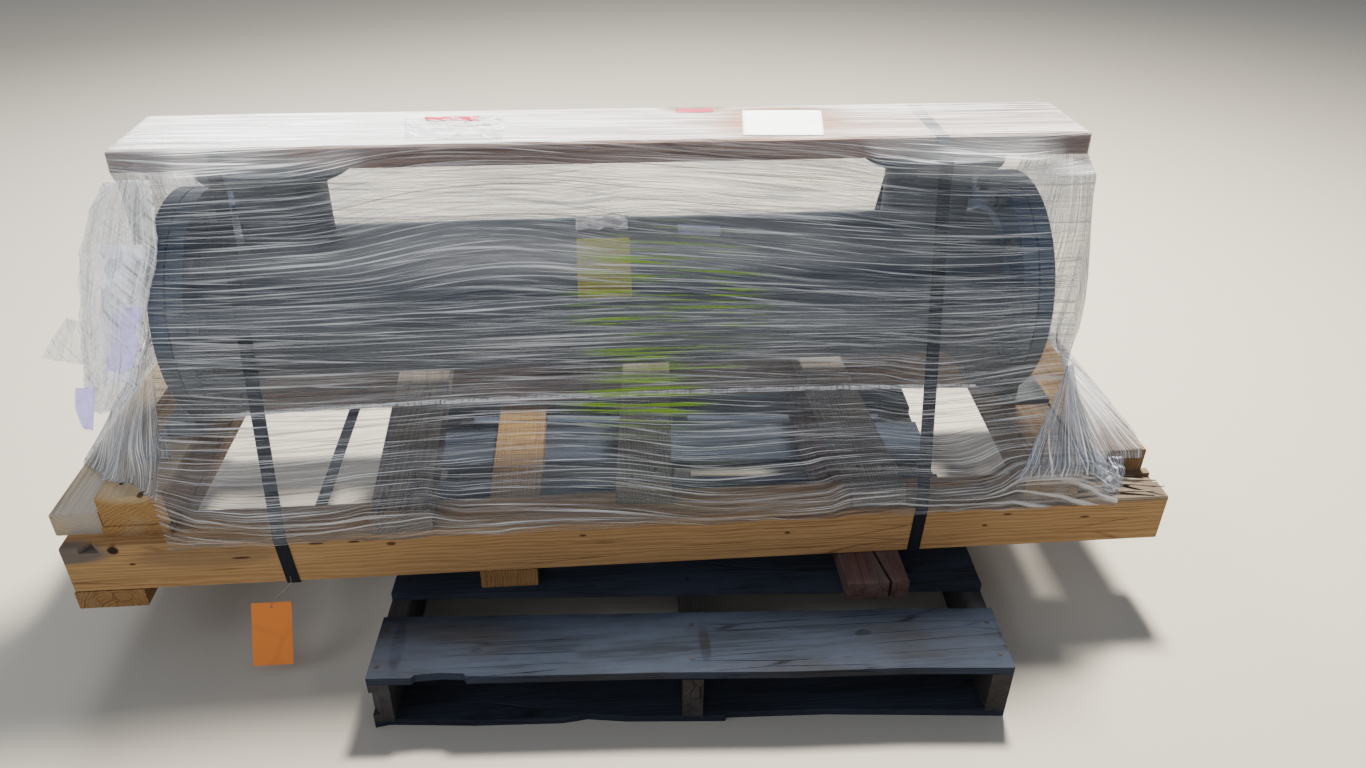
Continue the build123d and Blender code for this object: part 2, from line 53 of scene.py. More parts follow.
def only(obj):
    deselect()
    obj.select_set(True)
    bpy.context.view_layer.objects.active = obj


def primitive(kind, **sizes):
    """Add a mesh primitive and make it the only selected object."""
    deselect()
    getattr(bpy.ops.mesh, f"primitive_{kind}_add")(**sizes)
    return bpy.context.active_object


# Shader building


class Wire:
    """A socket of a material that Python operators join with Math nodes."""

    def __init__(self, mat, socket):
        self.mat = mat
        self.socket = socket

    def _math(self, operation, other, swap=False):
        a, b = (other, self) if swap else (self, other)
        return self.mat.add("Math", {"operation": operation}, {0: a, 1: b})

    def __add__(self, other):
        return self._math("ADD", other)

    def __radd__(self, other):
        return self._math("ADD", other, True)

    def __sub__(self, other):
        return self._math("SUBTRACT", other)

    def __rsub__(self, other):
        return self._math("SUBTRACT", other, True)

    def __mul__(self, other):
        return self._math("MULTIPLY", other)

    def __rmul__(self, other):
        return self._math("MULTIPLY", other, True)

    def __truediv__(self, other):
        return self._math("DIVIDE", other)

    def at_least(self, other):
        return self._math("MAXIMUM", other)

    def at_most(self, other):
        return self._math("MINIMUM", other)

    def wave(self):
        return self.mat.add("Math", {"operation": "SINE"}, {0: self})

    def root(self):
        return self.mat.add("Math", {"operation": "SQRT"}, {0: self})

    def between(self, low, high, out_low=0.0, out_high=1.0):
        return self.mat.add(
            "MapRange",
            {"interpolation_type": "SMOOTHSTEP"},
            {"Value": self, "From Min": low, "From Max": high, "To Min": out_low, "To Max": out_high},
        )


class Finish:
    """A new material, and the one way to add a node to it."""

    def __init__(self, name):
        self.material = bpy.data.materials.new(name)
        self.material.use_nodes = True
        self.tree = self.material.node_tree
        self.tree.nodes.clear()
        self.output = self.tree.nodes.new("ShaderNodeOutputMaterial")
        self.coords = self.add("TexCoord", {}, {}, out="Object")

    def add(self, kind, settings, values, out=0):
        node = self.tree.nodes.new("ShaderNode" + kind)
        for key, value in settings.items():
            if key == "stops":
                ramp = node.color_ramp
                while len(ramp.elements) < len(value):
                    ramp.elements.new(0.5)
                for element, (at, colour) in zip(ramp.elements, value):
                    element.position = at
                    element.color = (*colour, 1.0)
            else:
                setattr(node, key, value)
        for key, value in values.items():
            self.fill(node.inputs[key], value)
        return Wire(self, node.outputs[out])

    def fill(self, socket, value):
        """Link a wire to a socket, or write a constant on it."""
        if isinstance(value, Wire):
            self.tree.links.new(value.socket, socket)
        elif socket.type == "RGBA":
            socket.default_value = (*value, 1.0)
        else:
            socket.default_value = value

    def lay(self):
        """Metres along and across a sheet's streaks, kept in its UV map."""
        return self.add("UVMap", {"uv_map": "lay"}, {})

    def axes(self, vector=None):
        node = self.tree.nodes.new("ShaderNodeSeparateXYZ")
        self.tree.links.new((vector or self.coords).socket, node.inputs[0])
        return [Wire(self, node.outputs[i]) for i in range(3)]

    def stretched(self, scale, shift=(0.0, 0.0, 0.0), vector=None):
        values = {"Vector": vector or self.coords, "Scale": scale, "Location": shift}
        return self.add("Mapping", {}, values)

    def grain(self, vector, scale=1.0, detail=5.0, rough=0.6):
        values = {"Vector": vector, "Scale": scale, "Detail": detail, "Roughness": rough}
        return self.add("TexNoise", {}, values)

    def cell_edges(self, vector, scale):
        values = {"Vector": vector, "Scale": scale}
        return self.add("TexVoronoi", {"feature": "DISTANCE_TO_EDGE"}, values, out="Distance")

    def mix(self, factor, a, b):
        node = self.tree.nodes.new("ShaderNodeMix")
        node.data_type = "RGBA"
        for index, value in ((0, factor), (6, a), (7, b)):
            self.fill(node.inputs[index], value)
        return Wire(self, node.outputs[2])

    def ramp(self, factor, stops):
        return self.add("ValToRGB", {"stops": stops}, {"Fac": factor})

    def bump(self, height, strength, distance=0.002):
        return self.add("Bump", {}, {"Height": height, "Strength": strength, "Distance": distance})

    def spot(self, place, reach, soft=0.35):
        """1 near a place of the load and 0 beyond its reach in x, y and z."""
        total = None
        for axis, at, far in zip(self.axes(), LOAD + Vector(place), reach):
            if far is None:
                continue
            part = (axis - at) / far
            part = part * part
            total = part if total is None else total + part
        return total.root().between(1.0 - soft, 1.0 + soft, 1.0, 0.0)

    def principled(self, **values):
        """Give the material its surface, and return it."""
        names = {key.replace("_", " "): value for key, value in values.items()}
        shader = self.add("BsdfPrincipled", {}, names)
        self.tree.links.new(shader.socket, self.output.inputs[0])
        return self.material


def shade(colour, factor):
    return tuple(min(1.0, c * factor) for c in colour)


# Timber finishes
RING_SPACING = 0.006


def timber_finish(name, along, light, dark, grey, wear, heart, knots=(), patches=(), checks=0.5):
    """Sawn timber: rings about a heart line, checks along the grain, knots, stains, patches of painted light and grey
    weathering.
    """
    f = Finish(name)
    x, y, z = f.axes()
    a, b = (y, z) if along == "x" else (x, z)

    def run(long, short):
        return (long, short, short) if along == "x" else (short, long, short)

    fibre = f.grain(f.stretched(run(1.3, 26.0)))
    fine = f.grain(f.stretched(run(9.0, 420.0)), 1.0, 3.0)
    blotch = f.grain(f.coords, 3.6)
    da = a - heart[0]
    db = b - heart[1]
    radius = (da * da + db * db).root() + 0.03 * fibre + 0.014 * blotch
    ring = (radius * (2.0 * math.pi / RING_SPACING)).wave() * 0.5 + 0.5
    tone = 0.26 * ring + 0.42 * fibre + 0.32 * fine
    colour = f.ramp(tone, [(0.22, dark), (0.52, light), (0.85, shade(light, 1.3))])
    # Each patch is a stain, except the lighter sunlit patch on the inner crosspiece, which is painted light
    for place, reach, stain_and_painted_light, amount in patches:
        ragged = f.spot(place, reach, 0.3) * (0.55 + 0.9 * fibre)
        colour = f.mix(ragged.at_most(1.0) * amount, colour, stain_and_painted_light)
    knot_mask = None
    for place, size in knots:
        reach = (size * 1.9, size, size) if along == "x" else (size, size * 1.9, size)
        spot = f.spot(place, reach, 0.25)
        knot_mask = spot if knot_mask is None else knot_mask.at_least(spot)
    if knot_mask is not None:
        colour = f.mix(knot_mask * 0.85, colour, shade(dark, 0.25))
    split = f.cell_edges(f.stretched(run(1.9, 34.0)), 1.0)
    crack = split.between(0.0, 0.03, 1.0, 0.0) * blotch.between(0.47, 0.6) * checks
    colour = f.mix(crack, colour, shade(dark, 0.2))
    weather = f.grain(f.stretched(run(2.6, 11.0), (0.3, 0.7, 0.2)), 1.0, 6.0, 0.65)
    weather = weather.between(0.62 - wear * 0.5, 0.86 - wear * 0.5)
    colour = f.mix(weather * min(1.0, 0.3 + wear), colour, grey)
    dirt = f.grain(f.coords, 42.0, 6.0, 0.7).between(0.57, 0.75)
    colour = f.mix(dirt * (0.12 + 0.4 * wear), colour, shade(grey, 0.3))
    height = 0.3 * ring + 0.9 * fine + 0.8 * fibre - 2.5 * crack
    return f.principled(
        Base_Color=colour,
        Roughness=0.64 + 0.26 * blotch,
        Normal=f.bump(height, 0.6, 0.0016),
        Specular_IOR_Level=0.18,
    )


# Paint, rubber, metal and paper finishes


def shell_finish():
    """Slate paint with dust on its upper side, scratches and chips."""
    f = Finish("shell slate paint")
    z = f.axes()[2]
    long_grain = f.grain(f.stretched((2.0, 60.0, 60.0)))
    blotch = f.grain(f.coords, 5.0)
    speck = f.grain(f.coords, 120.0, 3.0)
    base = f.ramp(
        0.6 * blotch + 0.4 * long_grain,
        [(0.25, (0.028, 0.04, 0.06)), (0.55, (0.052, 0.07, 0.094)), (0.8, (0.09, 0.112, 0.136))],
    )
    dust = (z - (AXIS_Z + 0.085)).between(0.0, 0.06) * blotch.between(0.35, 0.6)
    base = f.mix(dust * 0.55, base, (0.2, 0.21, 0.21))
    low = (z - (AXIS_Z - 0.02)).between(-0.09, 0.05, 1.0, 0.0)
    base = f.mix(low * 0.5, base, (0.055, 0.06, 0.056))
    scratch = f.grain(f.stretched((9.0, 240.0, 240.0)), 1.0, 2.0, 0.5).between(0.66, 0.72)
    base = f.mix(scratch * 0.4, base, (0.16, 0.18, 0.2))
    chips = f.grain(f.coords, 30.0, 5.0, 0.7).between(0.68, 0.72)
    base = f.mix(chips * 0.6, base, (0.12, 0.08, 0.055))
    height = blotch + 0.12 * speck + 0.3 * long_grain - 0.8 * chips
    rough = 0.34 + 0.25 * blotch + 0.2 * dust
    return f.principled(Base_Color=base, Roughness=rough, Normal=f.bump(height, 0.12, 0.001))


def flange_finish(name, blue, worn):
    """Blue paint that is worn on its lower half, with rust and scuffs."""
    f = Finish(name)
    z = f.axes()[2]
    blotch = f.grain(f.coords, 9.0)
    fine = f.grain(f.coords, 90.0, 4.0)
    low = (z - (AXIS_Z - 0.01) + 0.14 * (blotch - 0.5)).between(-0.09, 0.09, 1.0, 0.0)
    colour = f.mix(low, blue, worn)
    colour = f.mix(blotch.between(0.4, 0.75) * 0.5, colour, shade(blue, 0.55))
    rust = (f.grain(f.coords, 26.0, 6.0, 0.7) + 0.25 * fine).between(0.74, 0.88)
    colour = f.mix(rust * 0.75, colour, (0.15, 0.065, 0.028))
    scuff = f.grain(f.stretched((4.0, 130.0, 60.0)), 1.0, 4.0).between(0.62, 0.72)
    colour = f.mix(scuff * 0.35, colour, (0.3, 0.32, 0.34))
    rough = 0.42 + 0.3 * blotch + 0.2 * rust
    height = blotch + 0.4 * fine + 0.5 * rust
    return f.principled(Base_Color=colour, Roughness=rough, Normal=f.bump(height, 0.35, 0.001))


def plain_metal(name, colour, rough, metallic):
    """One metal or rubber with a fine grain and darker blotches."""
    f = Finish(name)
    blotch = f.grain(f.coords, 40.0)
    fine = f.grain(f.coords, 240.0, 3.0)
    base = f.mix(blotch.between(0.35, 0.7), colour, shade(colour, 0.5))
    return f.principled(
        Base_Color=base,
        Roughness=rough + 0.25 * blotch,
        Metallic=metallic,
        Normal=f.bump(fine, 0.2, 0.0005),
    )


def strap_finish():
    """Black strapping band with ribs along it, and lighter scuffed spots that are partly scuffs and partly painted
    sheen.
    """
    f = Finish("strap black polyester")
    y, z = f.axes()[1:]
    rib = ((y + z) * 1900.0).wave() * 0.5 + 0.5
    scuff = f.grain(f.stretched((60.0, 14.0, 14.0)), 1.0, 5.0, 0.65)
    # The lightest stop is partly scuffs and partly painted sheen
    colour = f.ramp(
        scuff, [(0.3, (0.004, 0.006, 0.01)), (0.62, (0.009, 0.012, 0.019)), (0.82, (0.04, 0.046, 0.055))]
    )
    return f.principled(
        Base_Color=colour,
        Roughness=0.5 + 0.25 * scuff,
        Normal=f.bump(rib + scuff, 0.25, 0.0004),
        Specular_IOR_Level=0.25,
    )


def paper_finish(name, colour, crumple, painted_glow=0.0):
    """Card or paper with folds and stains, its fold lines darkened as painted shade; the glow is painted light, an
    emission standing in for the light that thin paper lets through from behind.
    """
    f = Finish(name)
    fibre = f.grain(f.coords, 260.0, 4.0)
    fold = f.cell_edges(f.coords, crumple).between(0.0, 0.09)
    stain = f.grain(f.coords, 12.0, 5.0, 0.65).between(0.5, 0.78)
    base = f.mix(stain * 0.35, colour, shade(colour, 0.72))
    # Painted shade: the fold lines are darkened
    base = f.mix((1.0 - fold) * 0.18, base, shade(colour, 0.55))
    height = fold + 0.25 * fibre
    return f.principled(
        Base_Color=base,
        Roughness=0.55 + 0.2 * fibre,
        Normal=f.bump(height, 0.5, 0.0012),
        # Painted light: the paper glows by emission where a glow is given
        Emission_Color=base,
        Emission_Strength=painted_glow,
    )


# Stretch film finish


def film_finish(
    name, clear, cloud, white, down=False, cross=0.07, painted_glare=(), paint=False, holes=(),
    tint=(0.42, 0.46, 0.51), painted_dark_streaks=0.3, painted_glow=0.0,
):
    """Clear stretch film: a veil, and thin light and dark streaks along the pull.

    down turns the streaks upright, and cross leans every second set of them.
    clear, cloud, white and the dark streak cover are the cover of bare film, veil, light and dark streaks; the light
    streaks are painted highlights and the dark streaks painted shade.
    The glare spots whiten places with painted glare, holes clear them, and the glow is painted light: an emission
    standing in for the light that folded film lets through.
    """
    f = Finish(name)
    u, flow = f.axes(f.lay())[:2]
    if down:
        u, flow = flow, u

    def run(long, short, lean=0.0, shift=0.0):
        across = flow + u * lean + shift
        return f.add("CombineXYZ", {}, {0: u * long + 3.0 * shift, 1: across * short, 2: 0.0})

    thin = f.grain(run(2.2, 230.0), 1.0, 2.0, 0.62)
    slant = f.grain(run(1.9, 190.0, cross, 1.7), 1.0, 2.0, 0.62)
    band = f.grain(run(1.1, 34.0, -0.3 * cross, 3.1), 1.0, 3.0)
    patch = f.grain(run(1.9, 8.0, 0.0, 5.3), 1.0, 2.0)
    # Light streaks are painted highlights and dark streaks painted shade, both in colour and cover
    bright = thin.between(0.51, 0.66) * band.between(0.3, 0.54)
    bright = bright.at_least(slant.between(0.52, 0.67) * band.between(0.64, 0.44) * 0.85)
    dark = thin.between(0.49, 0.38) * band.between(0.64, 0.46)
    dark = dark.at_least(slant.between(0.48, 0.37) * band.between(0.36, 0.56) * 0.8)
    veil = 0.5 * band.between(0.4, 0.66) + 0.5 * patch.between(0.32, 0.7)
    alpha = clear + cloud * veil + white * bright + painted_dark_streaks * dark
    colour = f.mix(veil, shade(tint, 0.75), shade(tint, 1.25))
    colour = f.mix(dark * 0.9, colour, (0.03, 0.036, 0.048))
    colour = f.mix(bright, colour, (0.9, 0.92, 0.95))
    # Painted glare: the film is whitened and made less clear at these places
    for place, reach, amount in painted_glare:
        cover = f.spot(place, reach, 0.6) * (0.4 + 0.6 * patch + 0.5 * bright)
        alpha = alpha + cover * amount
        colour = f.mix(cover.at_most(1.0) * 0.85, colour, (0.88, 0.9, 0.93))
    if paint:
        spray = f.grain(run(3.0, 105.0, 0.0, 2.3), 1.0, 3.0, 0.62)
        upper = f.spot((0.075, -0.2, 0.66), (0.17, None, 0.14), 0.4) * spray.between(0.52, 0.62)
        lower = f.spot((0.02, -0.2, 0.5), (0.13, None, 0.05), 0.4) * spray.between(0.48, 0.6)
        wash = f.spot((0.06, -0.2, 0.4), (0.13, None, 0.14), 0.6) * spray.between(0.45, 0.66) * 0.25
        green = upper.at_least(lower).at_least(wash)
        colour = f.mix(green, colour, (0.3, 0.48, 0.012))
        alpha = alpha + 0.34 * green
    for place, reach, soft, amount in holes:
        alpha = alpha * (1.0 - f.spot(place, reach, soft) * amount)
    return f.principled(
        Base_Color=colour,
        Roughness=0.2 + 0.25 * veil,
        Alpha=alpha.at_most(0.93),
        Normal=f.bump(band, 0.8, 0.003),
        Specular_IOR_Level=0.6,
        # Painted light: the film glows by emission where a glow is given
        Emission_Color=colour,
        Emission_Strength=painted_glow,
    )


# The finishes of this load
SLATE = shell_finish()
FLANGE = flange_finish("flange blue grey paint", (0.04, 0.078, 0.135), (0.125, 0.13, 0.12))
NOZZLE = flange_finish("nozzle slate paint", (0.085, 0.102, 0.122), (0.095, 0.102, 0.106))
GASKET = plain_metal("gasket black", (0.012, 0.012, 0.012), 0.6, 0.0)
STEEL = plain_metal("bare steel", (0.3, 0.3, 0.31), 0.3, 0.9)
NUT_STEEL = plain_metal("painted nut steel", (0.1, 0.12, 0.14), 0.42, 0.35)
NAIL_STEEL = plain_metal("rusty nail steel", (0.03, 0.02, 0.016), 0.6, 0.3)
TUBES = plain_metal("tube brass", (0.42, 0.3, 0.13), 0.35, 0.8)
STRAP = strap_finish()
TAG = paper_finish("orange tag card", (0.8, 0.205, 0.035), 9.0)
WHITE_PAPER = paper_finish("white paper", (0.9, 0.91, 0.93), 26.0)
# The bag papers glow as painted light
BAG_PAPER = paper_finish("bag white paper", (0.88, 0.88, 0.95), 26.0, 0.38)
LILAC_PAPER = paper_finish("lilac paper", (0.6, 0.6, 0.92), 30.0, 0.3)
GREY_PAPER = paper_finish("grey paper", (0.46, 0.47, 0.5), 24.0)
RED_PAPER = paper_finish("red paper", (0.62, 0.035, 0.055), 30.0)
YELLOW_LABEL = paper_finish("yellow label", (0.6, 0.47, 0.012), 14.0)
PALE_LABEL = paper_finish("pale blue label", (0.4, 0.46, 0.66), 20.0)

BOARD = timber_finish(
    "top board wood", "x", (0.3, 0.19, 0.15), (0.15, 0.085, 0.068), (0.36, 0.33, 0.32), 0.42, (0.3, 0.6)
)
BEAM_KNOTS = tuple(
    ((x, BEAM_FACE_Y, z), size)
    for x, z, size in ((-0.462, 0.253, 0.0045), (0.7, 0.226, 0.003), (0.3, 0.232, 0.003))
)
BEAM_PATCHES = (
    ((-1.06, BEAM_FACE_Y, 0.262), (0.085, 0.03, 0.022), (0.12, 0.11, 0.105), 0.9),
    ((-0.966, BEAM_FACE_Y, 0.268), (0.01, 0.02, 0.009), (0.01, 0.008, 0.008), 0.95),
    ((-0.8, BEAM_FACE_Y, 0.245), (0.13, 0.02, 0.026), (0.19, 0.125, 0.075), 0.6),
    ((0.8, BEAM_FACE_Y + 0.02, 0.281), (0.32, 0.05, 0.014), (0.15, 0.125, 0.105), 0.8),
    ((1.045, BEAM_FACE_Y + 0.05, 0.277), (0.15, 0.06, 0.012), (0.13, 0.105, 0.085), 0.9),
) + tuple(
    ((x, BEAM_FACE_Y, z), (length, 0.02, 0.0026), (0.04, 0.02, 0.012), 0.85)
    for x, z, length in (
        (-0.94, 0.233, 0.006), (-0.742, 0.236, 0.016), (-0.6, 0.262, 0.014), (-0.53, 0.262, 0.011),
        (-0.1, 0.25, 0.007), (0.56, 0.238, 0.012), (0.742, 0.252, 0.009), (0.905, 0.236, 0.01),
    )
)
BEAM = timber_finish(
    "beam sawn pine", "x", (0.37, 0.218, 0.105), (0.25, 0.132, 0.058), (0.27, 0.22, 0.17), 0.08,
    (BEAM_FACE_Y + 0.23, 0.1), BEAM_KNOTS, BEAM_PATCHES,
)
REAR_BEAM = timber_finish(
    "rear beam pine", "x", (0.34, 0.215, 0.145), (0.19, 0.112, 0.076), (0.34, 0.29, 0.25), 0.15, (0.55, 0.1)
)
SPLIT_WOOD = timber_finish(
    "split weathered pine", "x", (0.2, 0.15, 0.11), (0.1, 0.065, 0.048), (0.22, 0.2, 0.19), 0.4, (0.0, 0.1)
)
# A sunlit patch painted on the inner crosspiece's top: painted light
CROSS_PAINTED_SUNLIGHT = (((-0.926, -0.2, 0.365), (0.07, 0.17, 0.02), (0.62, 0.5, 0.36), 0.5),)
CROSS = timber_finish(
    "crosspiece pine", "y", (0.33, 0.19, 0.08), (0.19, 0.095, 0.036), (0.38, 0.34, 0.28), 0.22,
    (-1.0, 0.2), (((-0.905, -0.315, 0.366), 0.006),), CROSS_PAINTED_SUNLIGHT, 0.6,
)
OUTER = timber_finish(
    "outer crosspiece pine", "y", (0.42, 0.33, 0.235), (0.22, 0.155, 0.105), (0.4, 0.37, 0.33), 0.4, (-1.3, 0.1)
)
CROSS_RIGHT = timber_finish(
    "right crosspiece pine", "y", (0.25, 0.16, 0.09), (0.14, 0.08, 0.042), (0.3, 0.26, 0.22), 0.3, (0.72, 0.28)
)
# The planks are darker than their wood: partly weathering, partly painted shade from the load above them
PLANK_WITH_PAINTED_SHADE = timber_finish(
    "plank weathered with painted shade", "y", (0.19, 0.15, 0.115), (0.06, 0.052, 0.05), (0.115, 0.115, 0.122), 0.3, (-0.5, 0.2)
)
BEARER = timber_finish(
    "bearer pine", "y", (0.26, 0.15, 0.065), (0.13, 0.065, 0.028), (0.24, 0.2, 0.16), 0.15, (-1.12, 0.12)
)
RED_BEARER = timber_finish(
    "red weathered bearer", "y", (0.105, 0.052, 0.042), (0.038, 0.018, 0.016), (0.13, 0.1, 0.095),
    0.45, (0.35, 0.1), checks=1.0,
)
PALLET_PATCHES = (
    ((-0.44, -0.5, DECK_Z), (0.2, 0.07, 0.012), (0.03, 0.024, 0.02), 0.5),
    ((0.22, -0.605, DECK_Z - 0.01), (0.45, 0.03, 0.012), (0.03, 0.024, 0.02), 0.6),
    ((0.56, -0.55, DECK_Z), (0.16, 0.05, 0.012), (0.026, 0.022, 0.019), 0.5),
    ((-0.445, -0.5, DECK_Z), (0.012, 0.06, 0.012), (0.006, 0.006, 0.007), 0.8),
    ((0.12, -0.53, DECK_Z), (0.01, 0.06, 0.012), (0.008, 0.007, 0.008), 0.7),
    ((0.685, -0.56, DECK_Z), (0.012, 0.06, 0.012), (0.008, 0.007, 0.008), 0.7),
)
PALLET = timber_finish(
    "old grey pallet", "x", (0.022, 0.03, 0.043), (0.0085, 0.0105, 0.0145), (0.036, 0.05, 0.075),
    0.42, (-0.4, -0.2), (((0.42, -0.53, DECK_Z), 0.008), ((-0.3, -0.52, DECK_Z), 0.006)),
    PALLET_PATCHES, 1.0,
)
PALLET_Y = timber_finish(
    "old grey stringer", "y", (0.04, 0.036, 0.035), (0.015, 0.014, 0.015), (0.055, 0.058, 0.064), 0.4,
    (0.4, -0.2), checks=1.0,
)

DRESS = (
    (SLATE, ("shell",)),
    (FLANGE, ("left_shell_flange", "right_shell_flange", "left_end_cover", "right_end_cover")),
    (NOZZLE, ("left_foot", "right_foot", "left_nozzle", "right_nozzle")),
    (GASKET, ("left_gasket", "right_gasket")),
    (STEEL, ("drain_plug", "tag_wire")),
    (TAG, ("hanging_tag",)),
    (TUBES, ("tube_bundle",)),
    (BOARD, ("lower_top_board", "upper_top_board")),
    (STRAP, ("left_strap", "right_strap")),
    (BEAM, ("front_beam",)),
    (REAR_BEAM, ("rear_beam",)),
    (OUTER, ("left_outer_crosspiece",)),
    (CROSS, ("left_inner_crosspiece", "left_shim_board")),
    (CROSS_RIGHT, ("right_inner_crosspiece", "right_outer_crosspiece")),
    (PLANK_WITH_PAINTED_SHADE, ("first_plank", "second_plank", "third_plank")),
    (BEARER, ("left_bearer", "middle_bearer")),
    (RED_BEARER, ("right_bearer",)),
    (PALLET, ("pallet_front_deck_board", "pallet_deck_boards", "pallet_bottom_boards")),
    (PALLET_Y, ("pallet_stringers",)),
)
for material, node_names in DRESS:
    for node_name in node_names:
        mesh = NODES[node_name].data
        mesh.materials.clear()
        mesh.materials.append(material)


# Fasteners


def finish_piece(piece, material):
    piece.data.materials.clear()
    piece.data.materials.append(material)
    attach(piece, "root")
    return piece


def set_copy(pattern, name, place, turn=(0.0, 0.0, 0.0)):
    """A copy with its own mesh, its points moved to their place so that the object stays at the origin."""
    piece = pattern.copy()
    piece.data = pattern.data.copy()
    piece.name = name
    piece.data.name = name
    bpy.context.collection.objects.link(piece)
    turned = Matrix.Rotation(turn[2], 4, "Z") @ Matrix.Rotation(turn[1], 4, "Y")
    turned = turned @ Matrix.Rotation(turn[0], 4, "X")
    piece.data.transform(Matrix.Translation(Vector(place)) @ turned)
    return piece


def bevelled(offset, segments):
    """Round the edges of the active piece after its turn is applied."""
    bpy.ops.object.transform_apply(location=True, rotation=True, scale=True)
    bpy.ops.object.mode_set(mode="EDIT")
    bpy.ops.mesh.select_all(action="SELECT")
    bpy.ops.mesh.bevel(offset=offset, segments=segments)
    bpy.ops.object.mode_set(mode="OBJECT")
    return bpy.context.active_object


ACROSS_FLATS = 0.034
NUT_HEIGHT = 0.018
ROD = 0.022


def hex_stud(nuts, ends):
    """A stud along x from one of its ends to the other, with a chamfered hexagon nut at each place in nuts."""
    lie = (0.0, math.pi / 2, 0.0)
    parts = []
    for at in nuts:
        radius = ACROSS_FLATS / math.sqrt(3.0)
        primitive("cylinder", vertices=6, radius=radius, depth=NUT_HEIGHT, location=(at, 0.0, 0.0), rotation=lie)
        parts.append(bevelled(0.0014, 2))
    low, high = ends
    middle = ((low + high) / 2, 0.0, 0.0)
    primitive("cylinder", vertices=24, radius=ROD / 2, depth=high - low, location=middle, rotation=lie)
    shank = bevelled(0.0012, 1)
    for part in parts:
        part.select_set(True)
    bpy.context.view_layer.objects.active = shank
    bpy.ops.object.join()
    return shank


# The flange and cover are gripped between an inner nut and the stud's flush end, or a foot's outer nut
HALF_GRIP = 0.031
FOOT_THICK = 0.01
STICK_OUT = 0.022
BOLT_CIRCLE_R = 0.204
STUDS = 12
FOOT_STUDS = (8, 9)
inner_nut = -(HALF_GRIP + NUT_HEIGHT / 2)
inner_end = -(HALF_GRIP + STICK_OUT)
foot_face = HALF_GRIP + FOOT_THICK
stud = hex_stud((inner_nut,), (inner_end, HALF_GRIP - 0.001))
foot_stud = hex_stud((inner_nut, foot_face + NUT_HEIGHT / 2), (inner_end, foot_face + STICK_OUT))
for side, joint_x, facing in (("left", -0.816, math.pi), ("right", 0.779, 0.0)):
    for i in range(STUDS):
        angle = math.radians(360.0 / STUDS * (i + 0.5))
        place = LOAD + Vector((joint_x, BOLT_CIRCLE_R * math.cos(angle), AXIS_Z + BOLT_CIRCLE_R * math.sin(angle)))
        pattern = foot_stud if i in FOOT_STUDS else stud
        turn = (random.uniform(0.0, 1.0), 0.0, facing)
        finish_piece(set_copy(pattern, f"{side}_flange_stud_{i + 1:02d}", place, turn), NUT_STEEL)
bpy.data.objects.remove(stud)
bpy.data.objects.remove(foot_stud)

NAIL_R = 0.0045
NAIL_HEAD = 0.003
NAIL_SUNK = 0.0006
DECK_PITCH = 0.216
primitive("cylinder", vertices=14, radius=NAIL_R, depth=NAIL_HEAD)
nail = bevelled(0.0006, 1)
nail_places = []
# The pallet stands a little askew under the skid
skew = math.radians(-3.1)
for row in range(5):
    for column in (-0.565, 0.0, 0.565):
        for step in (-0.045, 0.042):
            x = column + random.uniform(-0.008, 0.008)
            y = DECK_PITCH * (row - 2) + step + random.uniform(-0.006, 0.006)
            there = (x * math.cos(skew) - y * math.sin(skew), x * math.sin(skew) + y * math.cos(skew), DECK_Z)
            nail_places.append(there)

# Nails in the skid: x and top of a board, and how far the board leans along y
NAILED = (
    (-0.451, 0.327, 0.042),
    (0.042, 0.33, -0.063),
    (0.469, 0.321, 0.038),
    (-0.926, 0.365, 0.0),
    (0.8468, 0.365, -0.063),
)
for x, z, lean in NAILED:
    for y in (-0.27, 0.3):
        for step in (-0.026, 0.022):
            nail_places.append(tuple(LOAD + Vector((x - y * lean + step, y + random.uniform(-0.01, 0.01), z))))
for number, (x, y, z) in enumerate(nail_places):
    piece = set_copy(nail, f"nail_{number + 1:02d}", (x, y, z - NAIL_SUNK))
    finish_piece(piece, NAIL_STEEL)
bpy.data.objects.remove(nail)

# Splinters torn up along the front beam's right end: x, y, z, length, radius, tilt in degrees
SPLINTERS = (
    (0.935, -0.318, 0.281, 0.15, 0.0075, 2.0),
    (0.985, -0.335, 0.282, 0.12, 0.0065, -3.0),
    (1.01, -0.3, 0.284, 0.105, 0.007, -5.5),
    (0.965, -0.287, 0.281, 0.135, 0.006, 1.5),
    (1.025, -0.324, 0.287, 0.085, 0.005, -8.0),
    (0.9, -0.342, 0.28, 0.11, 0.005, 0.5),
)
for number, (x, y, z, length, radius, tilt) in enumerate(SPLINTERS):
    primitive(
        "cone",
        vertices=7,
        radius1=radius,
        radius2=radius * 0.25,
        depth=length,
        location=tuple(LOAD + Vector((x, y, z))),
        rotation=(0.0, math.pi / 2 + math.radians(tilt), math.radians(3.0 * tilt)),
        scale=(0.55, 1.0, 1.0),
    )
    splinter = bevelled(0.0008, 1)
    splinter.name = f"beam_splinter_{number + 1}"
    finish_piece(splinter, SPLIT_WOOD)


# Sheets


def along(path, t):
    """A point on a run of straight pieces, at share t of its length."""
    lengths = [math.dist(a, b) for a, b in zip(path, path[1:])]
    left = t * sum(lengths)
    for i, (a, b, length) in enumerate(zip(path, path[1:], lengths)):
        if left <= length or i == len(lengths) - 1:
            k = min(1.0, left / length) if length else 0.0
            return Vector([p + (q - p) * k for p, q in zip(a, b)])
        left -= length


def table(rows, x):
    """Values that follow x along a table of (x, values...)."""
    if x <= rows[0][0]:
        return rows[0][1:]
    for low, high in zip(rows, rows[1:]):
        if x <= high[0]:
            k = (x - low[0]) / (high[0] - low[0])
            k = k * k * (3.0 - 2.0 * k)
            return tuple(a + (b - a) * k for a, b in zip(low[1:], high[1:]))
    return rows[-1][1:]


